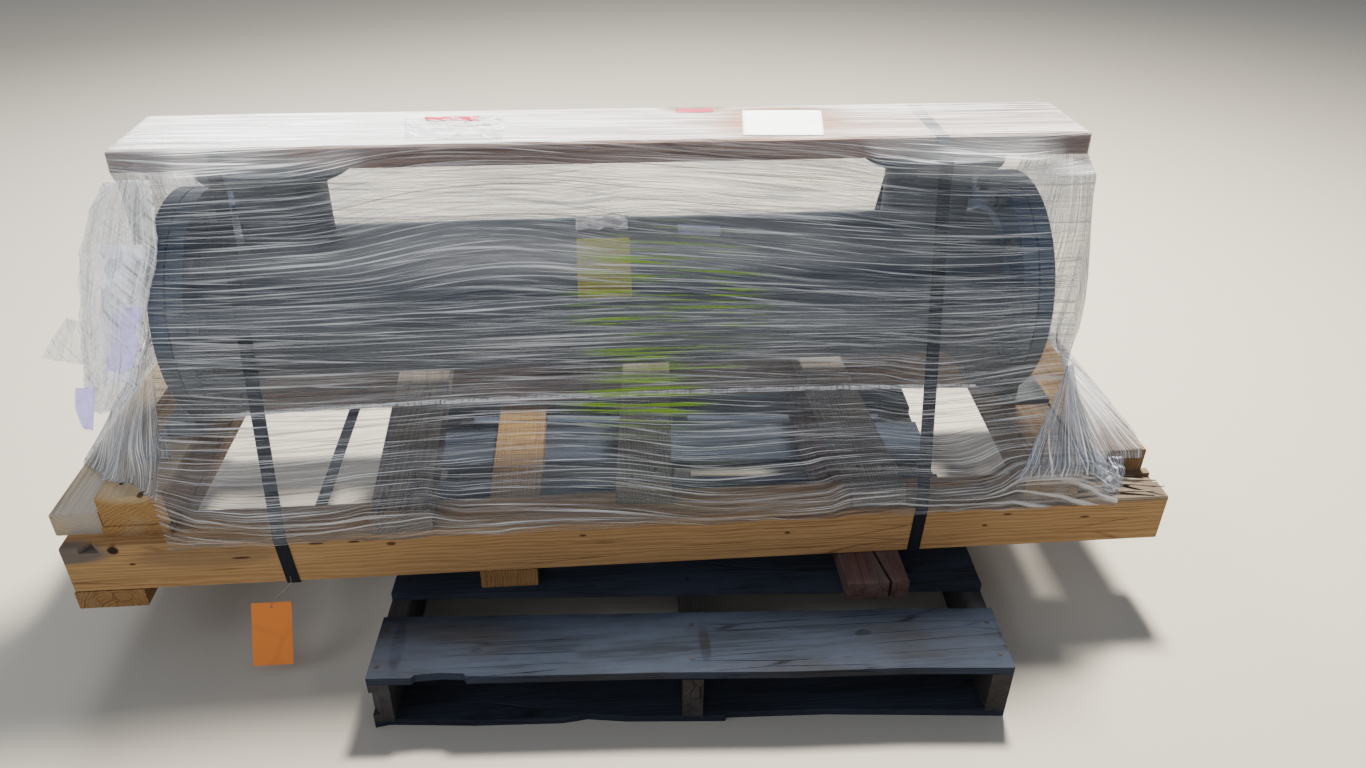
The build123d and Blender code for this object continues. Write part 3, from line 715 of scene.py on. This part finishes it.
def swell(point, scale, shift=0.0):
    """Smooth noise from 0 to 1."""
    return 0.5 + 0.5 * noise.noise(Vector((point[0] * scale[0] + shift, point[1] * scale[1], point[2] * scale[2])))


FILM_THICK = 0.0006
PAPER_THICK = 0.0004
LABEL_THICK = 0.0003


def leaned(bends, down=False):
    """Move a sheet's flat points across the streaks, so that these lean as the bends say."""

    def lay(x, y):
        u, v = (y, x) if down else (x, y)
        flow = v
        for slope, (near_u, near_v), (reach_u, reach_v) in bends:
            far = ((u - near_u) / reach_u) ** 2 + ((v - near_v) / reach_v) ** 2
            k = min(1.0, max(0.0, (far - 0.05) / 0.95))
            flow -= (u - near_u) * slope * (1.0 - k * k * (3.0 - 2.0 * k))
        return (flow, u) if down else (u, flow)

    return lay


STRAIGHT = leaned(())


def sheet_mesh(name, across, up, place, material, slot, width, height, thick=FILM_THICK, flow=STRAIGHT):
    """A grid whose points are set one by one from place(s, t), then given the sheet's thickness."""
    piece = primitive("grid", x_subdivisions=across, y_subdivisions=up, size=2.0)
    piece.name = name
    piece.data.name = name
    mesh = piece.data
    flat = [((vertex.co.x + 1.0) / 2.0, (vertex.co.y + 1.0) / 2.0) for vertex in mesh.vertices]
    while mesh.uv_layers:
        mesh.uv_layers.remove(mesh.uv_layers[0])
    lay = mesh.uv_layers.new(name="lay")
    for loop in mesh.loops:
        s, t = flat[loop.vertex_index]
        lay.data[loop.index].uv = flow(s * width, t * height)
    for vertex, (s, t) in zip(mesh.vertices, flat):
        vertex.co = LOAD + place(s, t)
    mesh.update()
    for polygon in mesh.polygons:
        polygon.use_smooth = True
    only(piece)
    solid = piece.modifiers.new("film", "SOLIDIFY")
    solid.thickness = thick
    solid.offset = 0.0
    bpy.ops.object.modifier_apply(modifier=solid.name)
    return finish_piece(piece, material)


def declared(piece, nodes=()):
    if nodes:
        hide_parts(*nodes)
    return piece


def lofted(rows, ripple):
    """Places on a sheet through rows of points, row 0 at t = 1, with ripple(point, s, t) pushed outwards.

    A span between rows is curved where it and its neighbours are long, and straight over an edge.
    """
    count = 240
    even = [[along(row, i / count) for i in range(count + 1)] for row in rows]
    spans = [math.dist(a[count // 2], b[count // 2]) + 0.004 for a, b in zip(even, even[1:])]
    total = sum(spans)

    def at(index, s):
        k = s * count
        i = min(count - 1, int(k))
        return even[index][i].lerp(even[index][i + 1], k - i)

    def smooth(s, t):
        left = (1.0 - t) * total
        index = 0
        while index < len(spans) - 1 and left > spans[index]:
            left -= spans[index]
            index += 1
        k = min(1.0, left / spans[index])
        b, c = at(index, s), at(index + 1, s)
        if not 0 < index < len(spans) - 1 or min(spans[index - 1 : index + 2]) < 0.05:
            return b.lerp(c, k)
        a, d = at(index - 1, s), at(index + 2, s)
        bend = b * 2.0 + (c - a) * k + (a * 2.0 - b * 5.0 + c * 4.0 - d) * k * k
        return (bend + (b * 3.0 - a - c * 3.0 + d) * k * k * k) * 0.5

    def place(s, t):
        here = smooth(s, t)
        ds = smooth(min(1.0, s + 0.01), t) - smooth(max(0.0, s - 0.01), t)
        dt = smooth(s, min(1.0, t + 0.01)) - smooth(s, max(0.0, t - 0.01))
        outward = ds.cross(dt)
        if outward.length > 1e-9:
            outward.normalize()
        return here + outward * ripple(here, s, t)

    return place


# The front and back film, from the boards' top edge over the flange rims to the beam's face
# Distances are from the middle plane: at the boards' edge, and over the nozzle flanges
BOARD_EDGE = 0.099
NOZZLE_EDGE = 0.142
AT_BOARD = (
    (-0.891, BOARD_EDGE), (-0.8, 0.125), (-0.775, NOZZLE_EDGE), (-0.505, NOZZLE_EDGE),
    (-0.43, 0.11), (-0.36, BOARD_EDGE), (0.41, BOARD_EDGE), (0.47, NOZZLE_EDGE),
    (0.745, NOZZLE_EDGE), (0.8, 0.125), (0.872, BOARD_EDGE),
)
UNDER_BOARD = (
    (-0.852, 0.148), (-0.775, 0.1422), (-0.505, 0.1422), (-0.4, 0.122),
    (0.38, 0.12), (0.47, 0.1422), (0.745, 0.1422), (0.872, 0.146),
)
# x, distance and height of the bend over the crosspieces, the planks and the beam between them
CORNER = (
    (-0.866, 0.3556, 0.369), (-0.8, 0.3556, 0.335), (-0.7, 0.356, 0.318), (-0.55, 0.3558, 0.318),
    (-0.503, 0.3556, 0.3295), (-0.372, 0.3556, 0.3295), (-0.33, 0.3556, 0.305), (-0.05, 0.3556, 0.298),
    (0.15, 0.3556, 0.298), (0.38, 0.3556, 0.306), (0.42, 0.3556, 0.3235), (0.543, 0.3556, 0.3235),
    (0.6, 0.3558, 0.314), (0.7, 0.3558, 0.314), (0.765, 0.3558, 0.3665), (0.885, 0.3558, 0.3675),
    (0.965, 0.3556, 0.325),
)
# The free spans: x at the left and right edge, distance, height, and how far they are drawn in
SPANS = (
    (-0.846, 0.866, 0.175, 0.79, 0.012),
    (-0.847, 0.85, 0.213, 0.683, 0.012),
    (-0.848, 0.851, 0.2435, 0.6, 0.01),
    (-0.851, 0.838, 0.2722, 0.52, 0.008),
    (-0.857, 0.846, 0.3015, 0.44, 0.006),
)


def side_rows(sign):
    """Rows for one long side; sign is -1 at the front and 1 at the back."""

    def row(x0, x1, at):
        points = []
        for i in range(61):
            x = x0 + (x1 - x0) * i / 60
            y, z = at(x)
            points.append((x, sign * y, z))
        return points

    def pull(x, near):
        """How far the free span is drawn in between the flange rims."""
        return near * max(0.0, 1.0 - (x / 0.5) ** 2)

    # The boards lie 10 mm off the cooler's axis, towards the back
    back = 0.01 if sign > 0 else 0.0
    return [
        row(-0.889, 0.87, lambda x: (0.093 + back, 0.9418)),
        row(-0.891, 0.872, lambda x: (BOARD_EDGE + back, 0.9375)),
        row(-0.891, 0.872, lambda x: (max(table(AT_BOARD, x)[0], BOARD_EDGE + back), 0.901)),
        row(-0.852, 0.874, lambda x: (table(UNDER_BOARD, x)[0], 0.876)),
        *(row(x0, x1, lambda x: (y - pull(x, near), z)) for x0, x1, y, z, near in SPANS),
        row(-0.866, 0.965, lambda x: table(CORNER, x)),
        row(-0.866, 0.963, lambda x: (0.3557, 0.266 + 0.0025 * math.sin(31.0 * x) + 0.002 * math.sin(77.0 * x))),
    ]


def side_ripple(sign, long_scale):
    def ripple(point, s, t):
        free = max(0.0, 1.0 - abs(point.z - 0.56) / 0.3) ** 0.5
        rim = min(1.0, 12.0 * min(s, 1.0 - s))
        lean = point.z - 0.07 * point.x if point.z < 0.5 else point.z + 0.05 * (point.x - 0.6)
        gather = swell((point.x, 2.0, lean), (long_scale, 1.0, 30.0), 3.0)
        fine = swell((point.x, 7.0, lean), (long_scale * 2.0, 1.0, 95.0))
        return sign * (0.0085 * gather * gather + 0.0022 * fine) * (0.12 + 0.88 * free * rim)

    return ripple


# Leans of the streaks: rise per metre, and where on the sheet (metres from its left and lower edges)
FRONT_BENDS = (
    (-0.08, (1.15, 0.68), (0.9, 0.3)),
    (0.05, (0.3, 0.66), (0.6, 0.26)),
    (0.07, (0.4, 0.12), (0.6, 0.26)),
    (0.05, (1.3, 0.1), (0.5, 0.24)),
    (0.13, (1.62, 0.24), (0.26, 0.24)),
)
BACK_BENDS = ((0.12, (0.6, 0.3), (0.6, 0.2)), (-0.12, (1.2, 0.6), (0.5, 0.2)))
END_BENDS = ((0.2, (0.25, 0.15), (0.35, 0.3)), (-0.2, (0.25, 0.6), (0.35, 0.3)))
# Painted glare on the films: place, reach and amount of each whitened spot
FRONT_PAINTED_GLARE = (
    ((-0.78, -0.12, 0.93), (0.16, 0.06, 0.05), 0.14),
    ((-0.12, -0.16, 0.76), (0.55, 0.1, 0.035), 0.13),
    ((0.72, -0.14, 0.9), (0.16, 0.06, 0.035), 0.16),
)
LEFT_PAINTED_GLARE = (((-1.0, -0.05, 0.44), (0.1, 0.2, 0.1), 0.16),)
RIGHT_PAINTED_GLARE = (((0.93, -0.15, 0.42), (0.08, 0.12, 0.09), 0.16),)
OUTER_HOLE = (((0.967, -0.245, 0.332), (0.034, 0.024, 0.03), 0.12, 1.0),)
TOP_CLEAR = (
    ((0.31, 0.0, 0.94), (0.14, 0.13, 0.05), 0.4, 0.85),
    ((0.15, 0.095, 0.94), (0.07, 0.03, 0.05), 0.4, 0.9),
    ((0.7, -0.02, 0.94), (0.2, 0.06, 0.05), 0.8, 0.6),
)
# Painted glare on the film over the boards, strongest at the left
TOP_PAINTED_GLARE = (((-0.62, 0.0, 0.94), (0.48, 0.4, 0.08), 0.16), ((0.0, 0.0, 0.94), (0.55, 0.4, 0.08), 0.08))
FILM_FRONT = film_finish("film over the front", 0.02, 0.065, 0.36, painted_glare=FRONT_PAINTED_GLARE, paint=True)
FILM_BACK = film_finish("film over the back", 0.02, 0.065, 0.36)
FILM_LEFT = film_finish("film over the left end", 0.09, 0.17, 0.48, True, 0.12, LEFT_PAINTED_GLARE)
FILM_RIGHT = film_finish(
    "film over the right end", 0.09, 0.17, 0.48, True, 0.12, RIGHT_PAINTED_GLARE, holes=OUTER_HOLE
)
FILM_TOP = film_finish(
    "film over the boards", 0.08, 0.12, 0.62, painted_glare=TOP_PAINTED_GLARE, holes=TOP_CLEAR, tint=(0.62, 0.63, 0.66)
)
# The bag film glows a little as painted light
FILM_BAG = film_finish("clear bag film", 0.12, 0.22, 0.5, True, 0.9, tint=(0.9, 0.93, 0.98), painted_dark_streaks=0.05, painted_glow=0.12)
FILM_POUCH = film_finish("clear pouch film", 0.1, 0.1, 0.55, False, 1.3, tint=(0.8, 0.81, 0.84), painted_dark_streaks=0.08)
FILM_GATHER = film_finish("gathered film", 0.14, 0.2, 0.6, True, 0.3, tint=(0.42, 0.5, 0.62), painted_dark_streaks=0.2)
FILM_INNER = film_finish("inner film", 0.045, 0.08, 0.24)
# The roped edge is milky film, made whiter and glowing as painted light
FILM_ROPE = film_finish("roped film edge", 0.8, 0.15, 0.1, True, tint=(0.92, 0.94, 0.98), painted_dark_streaks=0.05, painted_glow=0.4)

SIDE_FLAT = (1.76, 0.8)
for name, sign, across, up, material, bends, node_name, beam in (
    ("front_film_sheet", -1.0, 290, 165, FILM_FRONT, FRONT_BENDS, "front_film", "front_beam"),
    ("back_film_sheet", 1.0, 150, 100, FILM_BACK, BACK_BENDS, "back_film", "rear_beam"),
):
    place = lofted(side_rows(sign), side_ripple(-sign, 1.3))
    piece = sheet_mesh(name, across, up, place, material, "film_plastic", *SIDE_FLAT, flow=leaned(bends))
    declared(piece, nodes=(node_name,))


# The end films: close round the covers above, then fanned out over the crosspieces
def both_sides(front_half):
    """A row that goes on behind the load as it came in front."""
    return [*front_half, *[(x, -y, z) for x, y, z in reversed(front_half) if y < -0.001]]


def end_ripple(sign, low_z, high_z, size):
    def ripple(point, s, t):
        free = min(1.0, max(0.0, (point.z - low_z) / 0.05)) * min(1.0, max(0.0, (high_z - point.z) / 0.08))
        rim = min(1.0, 9.0 * min(s, 1.0 - s))
        pleat = swell((s * 34.0, 0.7 * t, 1.0), (1.0, 1.6, 1.0), 5.0)
        fold = swell((s * 9.0, 1.1 * t, 4.0), (1.0, 2.0, 1.0), 2.0)
        fine = swell((s * 90.0, 1.5 * t, 2.0), (1.0, 2.0, 1.0), 8.0)
        return sign * size * (1.3 * fold + 0.8 * pleat + 0.3 * fine - 0.6) * free * rim

    return ripple


def end_rows(edge, board_x, brow, bulges, foot):
    """Rows of an end film from the boards down, beside the side films; edge is 0 at the left and 1 at the right."""
    boards = [
        [(board_x, -y, z), (board_x, 0.005, z), (board_x, y + 0.01, z)] for y, z in ((0.094, 0.9385), (0.0985, 0.901))
    ]
    spans = [both_sides([(span[edge], -span[2], span[3]), *bulge]) for span, bulge in zip(SPANS, bulges)]
    return [*boards, both_sides(brow), *spans, *foot]


LEFT_BROW = ((-0.852, -0.148, 0.876), (-0.866, -0.135, 0.876), (-0.88, -0.07, 0.876), (-0.884, 0.0, 0.876))
LEFT_BULGE = (
    ((-0.856, -0.16, 0.79), (-0.868, -0.1, 0.79), (-0.873, 0.0, 0.79)),
    ((-0.862, -0.198, 0.683), (-0.878, -0.13, 0.683), (-0.884, 0.0, 0.683)),
    ((-0.864, -0.215, 0.605), (-0.884, -0.14, 0.61), (-0.893, 0.0, 0.612)),
    ((-0.876, -0.245, 0.52), (-0.93, -0.16, 0.522), (-0.95, 0.0, 0.522)),
    ((-0.905, -0.275, 0.435), (-0.99, -0.17, 0.44), (-1.012, 0.0, 0.435)),
)
LEFT_FOOT = (
    (
        (-0.866, -0.34, 0.3685), (-0.925, -0.285, 0.3685), (-0.988, -0.262, 0.368), (-1.012, -0.2, 0.332),
        (-1.0815, -0.152, 0.332), (-1.0815, 0.0, 0.332), (-1.0815, 0.35, 0.332),
    ),
    (
        (-0.868, -0.346, 0.367), (-0.925, -0.289, 0.367), (-0.99, -0.266, 0.366), (-1.014, -0.206, 0.33),
        (-1.0822, -0.156, 0.311), (-1.0822, 0.0, 0.311), (-1.0822, 0.352, 0.311),
    ),
)
RIGHT_BROW = ((0.874, -0.146, 0.876), (0.88, -0.12, 0.872), (0.884, -0.06, 0.87), (0.886, 0.0, 0.87))
RIGHT_BULGE = (
    ((0.88, -0.15, 0.79), (0.892, -0.08, 0.79), (0.896, 0.0, 0.79)),
    ((0.876, -0.198, 0.683), (0.892, -0.12, 0.683), (0.9, 0.0, 0.683)),
    ((0.872, -0.215, 0.6), (0.89, -0.12, 0.6), (0.898, 0.0, 0.6)),
    ((0.858, -0.225, 0.52), (0.878, -0.13, 0.51), (0.884, 0.0, 0.5)),
    ((0.885, -0.255, 0.45), (0.925, -0.14, 0.445), (0.93, 0.0, 0.44)),
)
RIGHT_FOOT = (
    (
        (0.905, -0.349, 0.369), (0.96, -0.29, 0.345), (1.045, -0.266, 0.334),
        (1.058, -0.2, 0.334), (1.058, 0.0, 0.334), (1.058, 0.35, 0.334),
    ),
    (
        (0.907, -0.352, 0.366), (0.962, -0.292, 0.332), (1.047, -0.268, 0.313),
        (1.0586, -0.2, 0.313), (1.0586, 0.0, 0.313), (1.0586, 0.352, 0.313),
    ),
)
LEFT_ROWS = end_rows(0, -0.8932, LEFT_BROW, LEFT_BULGE, LEFT_FOOT)
RIGHT_ROWS = end_rows(1, 0.8732, RIGHT_BROW, RIGHT_BULGE, RIGHT_FOOT)
for side, sign, rows, material in (("left", -1.0, LEFT_ROWS, FILM_LEFT), ("right", 1.0, RIGHT_ROWS, FILM_RIGHT)):
    place = lofted(rows, end_ripple(sign, 0.335, 0.9, 0.007))
    flow = leaned(END_BENDS, True)
    piece = sheet_mesh(f"{side}_end_film_sheet", 170, 130, place, material, "film_plastic", 0.75, 0.78, flow=flow)
    declared(piece, nodes=(f"{side}_end_film",))


# The film laid over the boards
BOARD_LEFT, BOARD_RUN = -0.889, 1.759
BOARD_FRONT, BOARD_DEPTH = -0.0935, 0.197
TOP_FILM_Z = 0.94


def top_place(s, t):
    x = BOARD_LEFT + BOARD_RUN * s
    y = BOARD_FRONT + BOARD_DEPTH * t
    rise = 0.0006 + 0.0014 * swell((x, y, 0.0), (2.4, 60.0, 1.0)) + 0.0006 * swell((x, y, 1.0), (7.0, 170.0, 1.0))
    return Vector((x, y, TOP_FILM_Z + rise))


top = sheet_mesh("top_film_sheet", 200, 60, top_place, FILM_TOP, "film_plastic", 1.76, 0.2)
declared(top, nodes=("top_film",))


# The inner wrap below the flange's middle, and its roped lower edge
RIM_R = 0.2292
RIM_LEFT, RIM_RUN = -0.815, 1.592
WRAP_LOW, WRAP_HIGH = 249.0, 156.0


def wrap_place(sign):
    """Taut from rim to rim, and drawn in between them."""

    def place(s, t):
        x = RIM_LEFT + RIM_RUN * s
        share = max(0.0, 1.0 - (2.0 * s - 1.0) ** 2)
        angle = math.radians(WRAP_LOW + (WRAP_HIGH - WRAP_LOW) * t)
        radius = RIM_R - 0.016 * share * (0.4 + 0.6 * math.sin(math.pi * t) + 0.3 * (1.0 - t))
        radius -= 0.0035 * swell((x, 1.0, angle), (1.6, 1.0, 11.0), 9.0) * min(1.0, 14.0 * min(s, 1.0 - s))
        return Vector((x, -sign * radius * math.cos(angle), AXIS_Z + radius * math.sin(angle)))

    return place


ROPE_R = 0.0034


def rope_place(sign):
    """Round the wrap's lower edge, with three twisted strands."""
    wrap = wrap_place(sign)

    def place(s, t):
        radius = ROPE_R + 0.0012 * math.sin(6.0 * math.pi * t + 140.0 * s)
        turn = 2.0 * math.pi * t
        return wrap(s, 0.0) + Vector((0.0, radius * math.cos(turn), radius * math.sin(turn)))

    return place


for side, sign in (("front", -1.0), ("back", 1.0)):
    place = wrap_place(sign)
    wrap = sheet_mesh(f"{side}_inner_wrap_sheet", 150, 60, place, FILM_INNER, "film_plastic", 1.59, 0.36)
    declared(wrap)
    place = rope_place(sign)
    rope = sheet_mesh(f"{side}_roped_film_edge", 220, 10, place, FILM_ROPE, "film_plastic", 1.59, 0.03, PAPER_THICK)
    declared(rope)


# Loose film, papers and labels
def crushed(size, scale, seed=0.0):
    """Sharp random creases, as in film or paper that was crumpled."""

    def ripple(point, s, t):
        large = noise.noise(Vector((s * scale + seed, t * scale * 1.5, seed)))
        small = noise.noise(Vector((s * scale * 2.7 + seed, t * scale * 4.0, seed + 3.0)))
        return size * (1.6 * abs(large) + 0.7 * abs(small) - 0.35)

    return ripple


def bag_round(left, middle, right, belly):
    """One level of the bag: its front, its two welded sides, and its back, which lies nearer to the load."""
    x, y, z = middle
    return [left, middle, right, (x, y + belly, z + 0.3 * belly), left]


BAG_FLAT = (0.21, 0.43)
BAG_ROWS = (
    ((-0.88, -0.15, 0.905), (-0.845, -0.153, 0.906), (-0.806, -0.15, 0.905), 0.002),
    ((-0.915, -0.158, 0.86), (-0.86, -0.166, 0.86), (-0.808, -0.158, 0.86), 0.01),
    ((-0.941, -0.18, 0.79), (-0.88, -0.193, 0.79), (-0.811, -0.181, 0.79), 0.014),
    ((-0.95, -0.212, 0.716), (-0.893, -0.226, 0.716), (-0.837, -0.212, 0.716), 0.014),
    ((-0.968, -0.226, 0.62), (-0.915, -0.243, 0.62), (-0.862, -0.236, 0.62), 0.013),
    ((-0.985, -0.23, 0.55), (-0.94, -0.247, 0.55), (-0.888, -0.24, 0.55), 0.01),
    ((-1.0, -0.233, 0.498), (-0.965, -0.242, 0.5), (-0.93, -0.238, 0.505), 0.002),
)
place = lofted([bag_round(*row) for row in BAG_ROWS], crushed(0.0085, 5.0, 2.0))
bag = sheet_mesh("hanging_bag_film", 110, 130, place, FILM_BAG, "bag_plastic", *BAG_FLAT, PAPER_THICK)
declared(bag, nodes=("hanging_bag",))

# Slot, how it is held, what it rests on, and the node it replaces
HUNG_PAPER = ("pouch_paper", "hung", "lower_top_board", ())
HUNG_FILM = ("bag_plastic", "hung", "lower_top_board", ())
GATHERED = ("film_plastic", "gathered", "front_beam", ())
LAID = ("pouch_paper", "laid", "upper_top_board", ())
POUCH = ("pouch_paper", "laid", "upper_top_board", ("document_pouch",))


def cone_pleats(point, s, t):
    return 0.004 * swell((s * 22.0, t * 0.8, 1.0), (1.0, 1.0, 1.0)) - 0.001


# Name, material, kind, grid, flat size, depth and scale of the creases (0 scale: pleats), rows of points
LOOSE = (
    ("bag_white_papers", BAG_PAPER, HUNG_PAPER, (24, 60), (0.075, 0.25), (0.004, 1.6), (
        ((-0.905, -0.176, 0.8), (-0.86, -0.18, 0.8), (-0.835, -0.176, 0.8)),
        ((-0.915, -0.205, 0.72), (-0.875, -0.213, 0.72), (-0.845, -0.206, 0.72)),
        ((-0.93, -0.222, 0.63), (-0.89, -0.231, 0.63), (-0.868, -0.227, 0.63)),
        ((-0.95, -0.228, 0.56), (-0.92, -0.236, 0.56), (-0.9, -0.232, 0.56)),
    )),
    ("bag_lilac_paper", LILAC_PAPER, HUNG_PAPER, (16, 30), (0.05, 0.12), (0.003, 1.9), (
        ((-0.898, -0.219, 0.7), (-0.872, -0.222, 0.702), (-0.85, -0.219, 0.7)),
        ((-0.915, -0.231, 0.64), (-0.885, -0.237, 0.64), (-0.862, -0.234, 0.642)),
        ((-0.93, -0.237, 0.588), (-0.905, -0.241, 0.58), (-0.885, -0.24, 0.592)),
    )),
    ("hanging_lilac_strip", LILAC_PAPER, HUNG_PAPER, (10, 24), (0.03, 0.085), (0.003, 1.5), (
        ((-0.996, -0.238, 0.552), (-0.96, -0.241, 0.554)),
        ((-1.006, -0.243, 0.512), (-0.972, -0.245, 0.512)),
        ((-1.004, -0.246, 0.47), (-0.986, -0.247, 0.466)),
    )),
    ("bag_side_flap", FILM_BAG, HUNG_FILM, (20, 20), (0.06, 0.085), (0.003, 2.2), (
        ((-0.975, -0.228, 0.688), (-0.95, -0.229, 0.68)),
        ((-1.008, -0.237, 0.65), (-0.954, -0.234, 0.64)),
        ((-1.032, -0.242, 0.618), (-0.96, -0.238, 0.598)),
    )),
    ("crumpled_paper_scrap", BAG_PAPER, HUNG_PAPER, (20, 16), (0.055, 0.042), (0.007, 3.0), (
        ((-0.94, -0.172, 0.604), (-0.892, -0.174, 0.608)),
        ((-0.948, -0.188, 0.584), (-0.89, -0.186, 0.584)),
        ((-0.936, -0.19, 0.566), (-0.9, -0.192, 0.568)),
    )),
    ("left_film_knot", FILM_GATHER, GATHERED, (30, 34), (0.06, 0.085), (0.009, 3.6), (
        ((-0.886, -0.226, 0.445), (-0.866, -0.228, 0.45)),
        ((-0.922, -0.23, 0.418), (-0.866, -0.236, 0.42)),
        ((-0.93, -0.226, 0.388), (-0.872, -0.232, 0.388)),
        ((-0.915, -0.212, 0.372), (-0.882, -0.216, 0.372)),
    )),
    ("right_film_cone", FILM_GATHER, GATHERED, (70, 60), (0.13, 0.235), (0.004, 0.0), (
        ((0.833, -0.2765, 0.545), (0.846, -0.274, 0.548)),
        ((0.815, -0.2935, 0.49), (0.862, -0.292, 0.49)),
        ((0.785, -0.321, 0.43), (0.885, -0.32, 0.43)),
        ((0.752, -0.3605, 0.374), (0.905, -0.361, 0.373)),
        ((0.738, -0.361, 0.345), (0.912, -0.3612, 0.347)),
    )),
    ("torn_film_end", FILM_GATHER, GATHERED, (30, 30), (0.06, 0.085), (0.007, 2.6), (
        ((0.925, -0.302, 0.345), (0.985, -0.294, 0.338)),
        ((0.93, -0.328, 0.315), (0.992, -0.312, 0.31)),
        ((0.942, -0.346, 0.288), (0.976, -0.332, 0.28)),
    )),
    ("white_board_sheet", WHITE_PAPER, LAID, (20, 14), (0.157, 0.157), (0.0003, 1.5), (
        ((0.242, 0.088, 0.9382), (0.398, 0.08, 0.9382)),
        ((0.223, -0.067, 0.9382), (0.372, -0.075, 0.9382)),
    )),
    ("red_board_strip", RED_PAPER, LAID, (12, 6), (0.07, 0.022), (0.0003, 1.5), (
        ((0.112, 0.104, 0.9384), (0.184, 0.104, 0.9384)),
        ((0.112, 0.082, 0.9384), (0.184, 0.081, 0.9384)),
    )),
    ("pouch_film", FILM_POUCH, POUCH, (60, 50), (0.185, 0.148), (0.004, 4.0), (
        ((-0.404, 0.066, 0.9436), (-0.218, 0.06, 0.9436)),
        ((-0.394, -0.004, 0.9455), (-0.214, -0.01, 0.9455)),
        ((-0.384, -0.078, 0.9436), (-0.212, -0.08, 0.9436)),
    )),
    ("pouch_grey_paper", GREY_PAPER, LAID, (16, 14), (0.055, 0.06), (0.0012, 2.0), (
        ((-0.268, 0.058, 0.9434), (-0.222, 0.052, 0.9434)),
        ((-0.284, 0.002, 0.9434), (-0.22, 0.012, 0.9434)),
    )),
    ("pouch_red_band", RED_PAPER, LAID, (20, 8), (0.1, 0.024), (0.0012, 2.0), (
        ((-0.368, 0.058, 0.944), (-0.266, 0.06, 0.944)),
        ((-0.362, 0.038, 0.944), (-0.262, 0.03, 0.944)),
    )),
)
for name, material, (slot, held, rest, nodes), grid, flat, (depth, scale), rows in LOOSE:
    # A name's length serves only to give each piece other creases
    ripple = crushed(depth, scale, 0.37 * len(name)) if scale else cone_pleats
    piece = sheet_mesh(name, *grid, lofted(rows, ripple), material, slot, *flat, PAPER_THICK)
    declared(piece, nodes=nodes)


def on_shell(x0, x1, low, high, lift, tilt=0.0, crease=None):
    """A patch that lies on the shell between two heights given as angles above the horizontal."""

    def place(s, t):
        angle = math.radians(low + (high - low) * t + tilt * (s - 0.5))
        radius = SHELL_R + lift
        if crease is not None:
            radius += max(0.0, crease(None, s, t))
        return Vector((x0 + (x1 - x0) * s, -radius * math.cos(angle), AXIS_Z + radius * math.sin(angle)))

    return place


for name, material, flat, place in (
    ("yellow_shell_label", YELLOW_LABEL, (0.102, 0.125), on_shell(-0.091, 0.011, 21.5, 69.0, 0.0006)),
    ("pale_shell_label", PALE_LABEL, (0.083, 0.03), on_shell(0.107, 0.19, 70.0, 81.5, 0.0006, -4.5)),
    (
        "shell_paper_scrap",
        WHITE_PAPER,
        (0.105, 0.062),
        on_shell(-0.092, 0.01, 78.0, 101.0, 0.002, 0.0, crushed(0.009, 2.4, 2.0)),
    ),
):
    piece = sheet_mesh(name, 30, 30, place, material, "pouch_paper", *flat, LABEL_THICK)
    declared(piece)

# Floor, light and camera
floor = primitive("plane", size=30.0, location=(0.0, 0.0, 0.0))
floor.name = "studio_floor"
floor.data.materials.append(Finish("pale floor").principled(Base_Color=(0.42, 0.39, 0.35), Roughness=0.9))

world = bpy.data.worlds.new("studio")
bpy.context.scene.world = world
world.use_nodes = True
sky = world.node_tree.nodes["Background"]
sky.inputs["Color"].default_value = (0.8, 0.89, 1.0, 1.0)
sky.inputs["Strength"].default_value = 0.3


def soft_light(name, place, target, size, power, colour):
    """An area light that faces its target."""
    data = bpy.data.lights.new(name, "AREA")
    data.shape = "RECTANGLE"
    data.size, data.size_y = size
    data.energy = power
    data.color = colour
    lamp = bpy.data.objects.new(name, data)
    bpy.context.collection.objects.link(lamp)
    lamp.location = place
    lamp.rotation_euler = (Vector(target) - Vector(place)).to_track_quat("-Z", "Y").to_euler()


soft_light("high key", (1.0, 1.9, 4.6), (0.0, 0.0, 0.4), (0.8, 0.8), 700.0, (1.0, 0.95, 0.87))
soft_light("rear left glare", (-1.9, 3.6, 3.0), (-0.7, 0.0, 0.7), (1.6, 0.8), 90.0, (0.93, 0.97, 1.0))
soft_light("left fill", (-4.2, -1.6, 2.2), (-1.0, 0.0, 0.6), (2.0, 2.0), 34.0, (0.95, 0.97, 1.0))
soft_light("front fill", (-1.0, -4.5, 3.0), (0.0, 0.0, 0.4), (4.0, 2.5), 32.0, (1.0, 0.98, 0.95))

# The photograph's camera
PHOTO_WIDTH = 1366.0
SENSOR = 36.0
FOCAL_PIXELS = 1006.66
PITCH, YAW, ROLL = (math.radians(a) for a in (31.67, 5.2, 0.61))
EYE = Vector((-0.0464, -1.8617, 1.5187))
forward = Vector((math.sin(YAW) * math.cos(PITCH), math.cos(YAW) * math.cos(PITCH), -math.sin(PITCH)))
level = Vector((math.cos(YAW), -math.sin(YAW), 0.0))
upward = level.cross(forward)
right = math.cos(ROLL) * level + math.sin(ROLL) * upward
up = -math.sin(ROLL) * level + math.cos(ROLL) * upward
lens = bpy.data.cameras.new("camera")
lens.sensor_width = SENSOR
lens.lens = SENSOR * FOCAL_PIXELS / PHOTO_WIDTH
camera = bpy.data.objects.new("camera", lens)
bpy.context.collection.objects.link(camera)
facing = Matrix((right, up, -forward)).transposed().to_4x4()
camera.matrix_world = Matrix.Translation(LOAD + EYE) @ facing
bpy.context.scene.camera = camera
bpy.context.scene.view_settings.view_transform = "Filmic"
bpy.context.scene.view_settings.look = "Medium High Contrast"
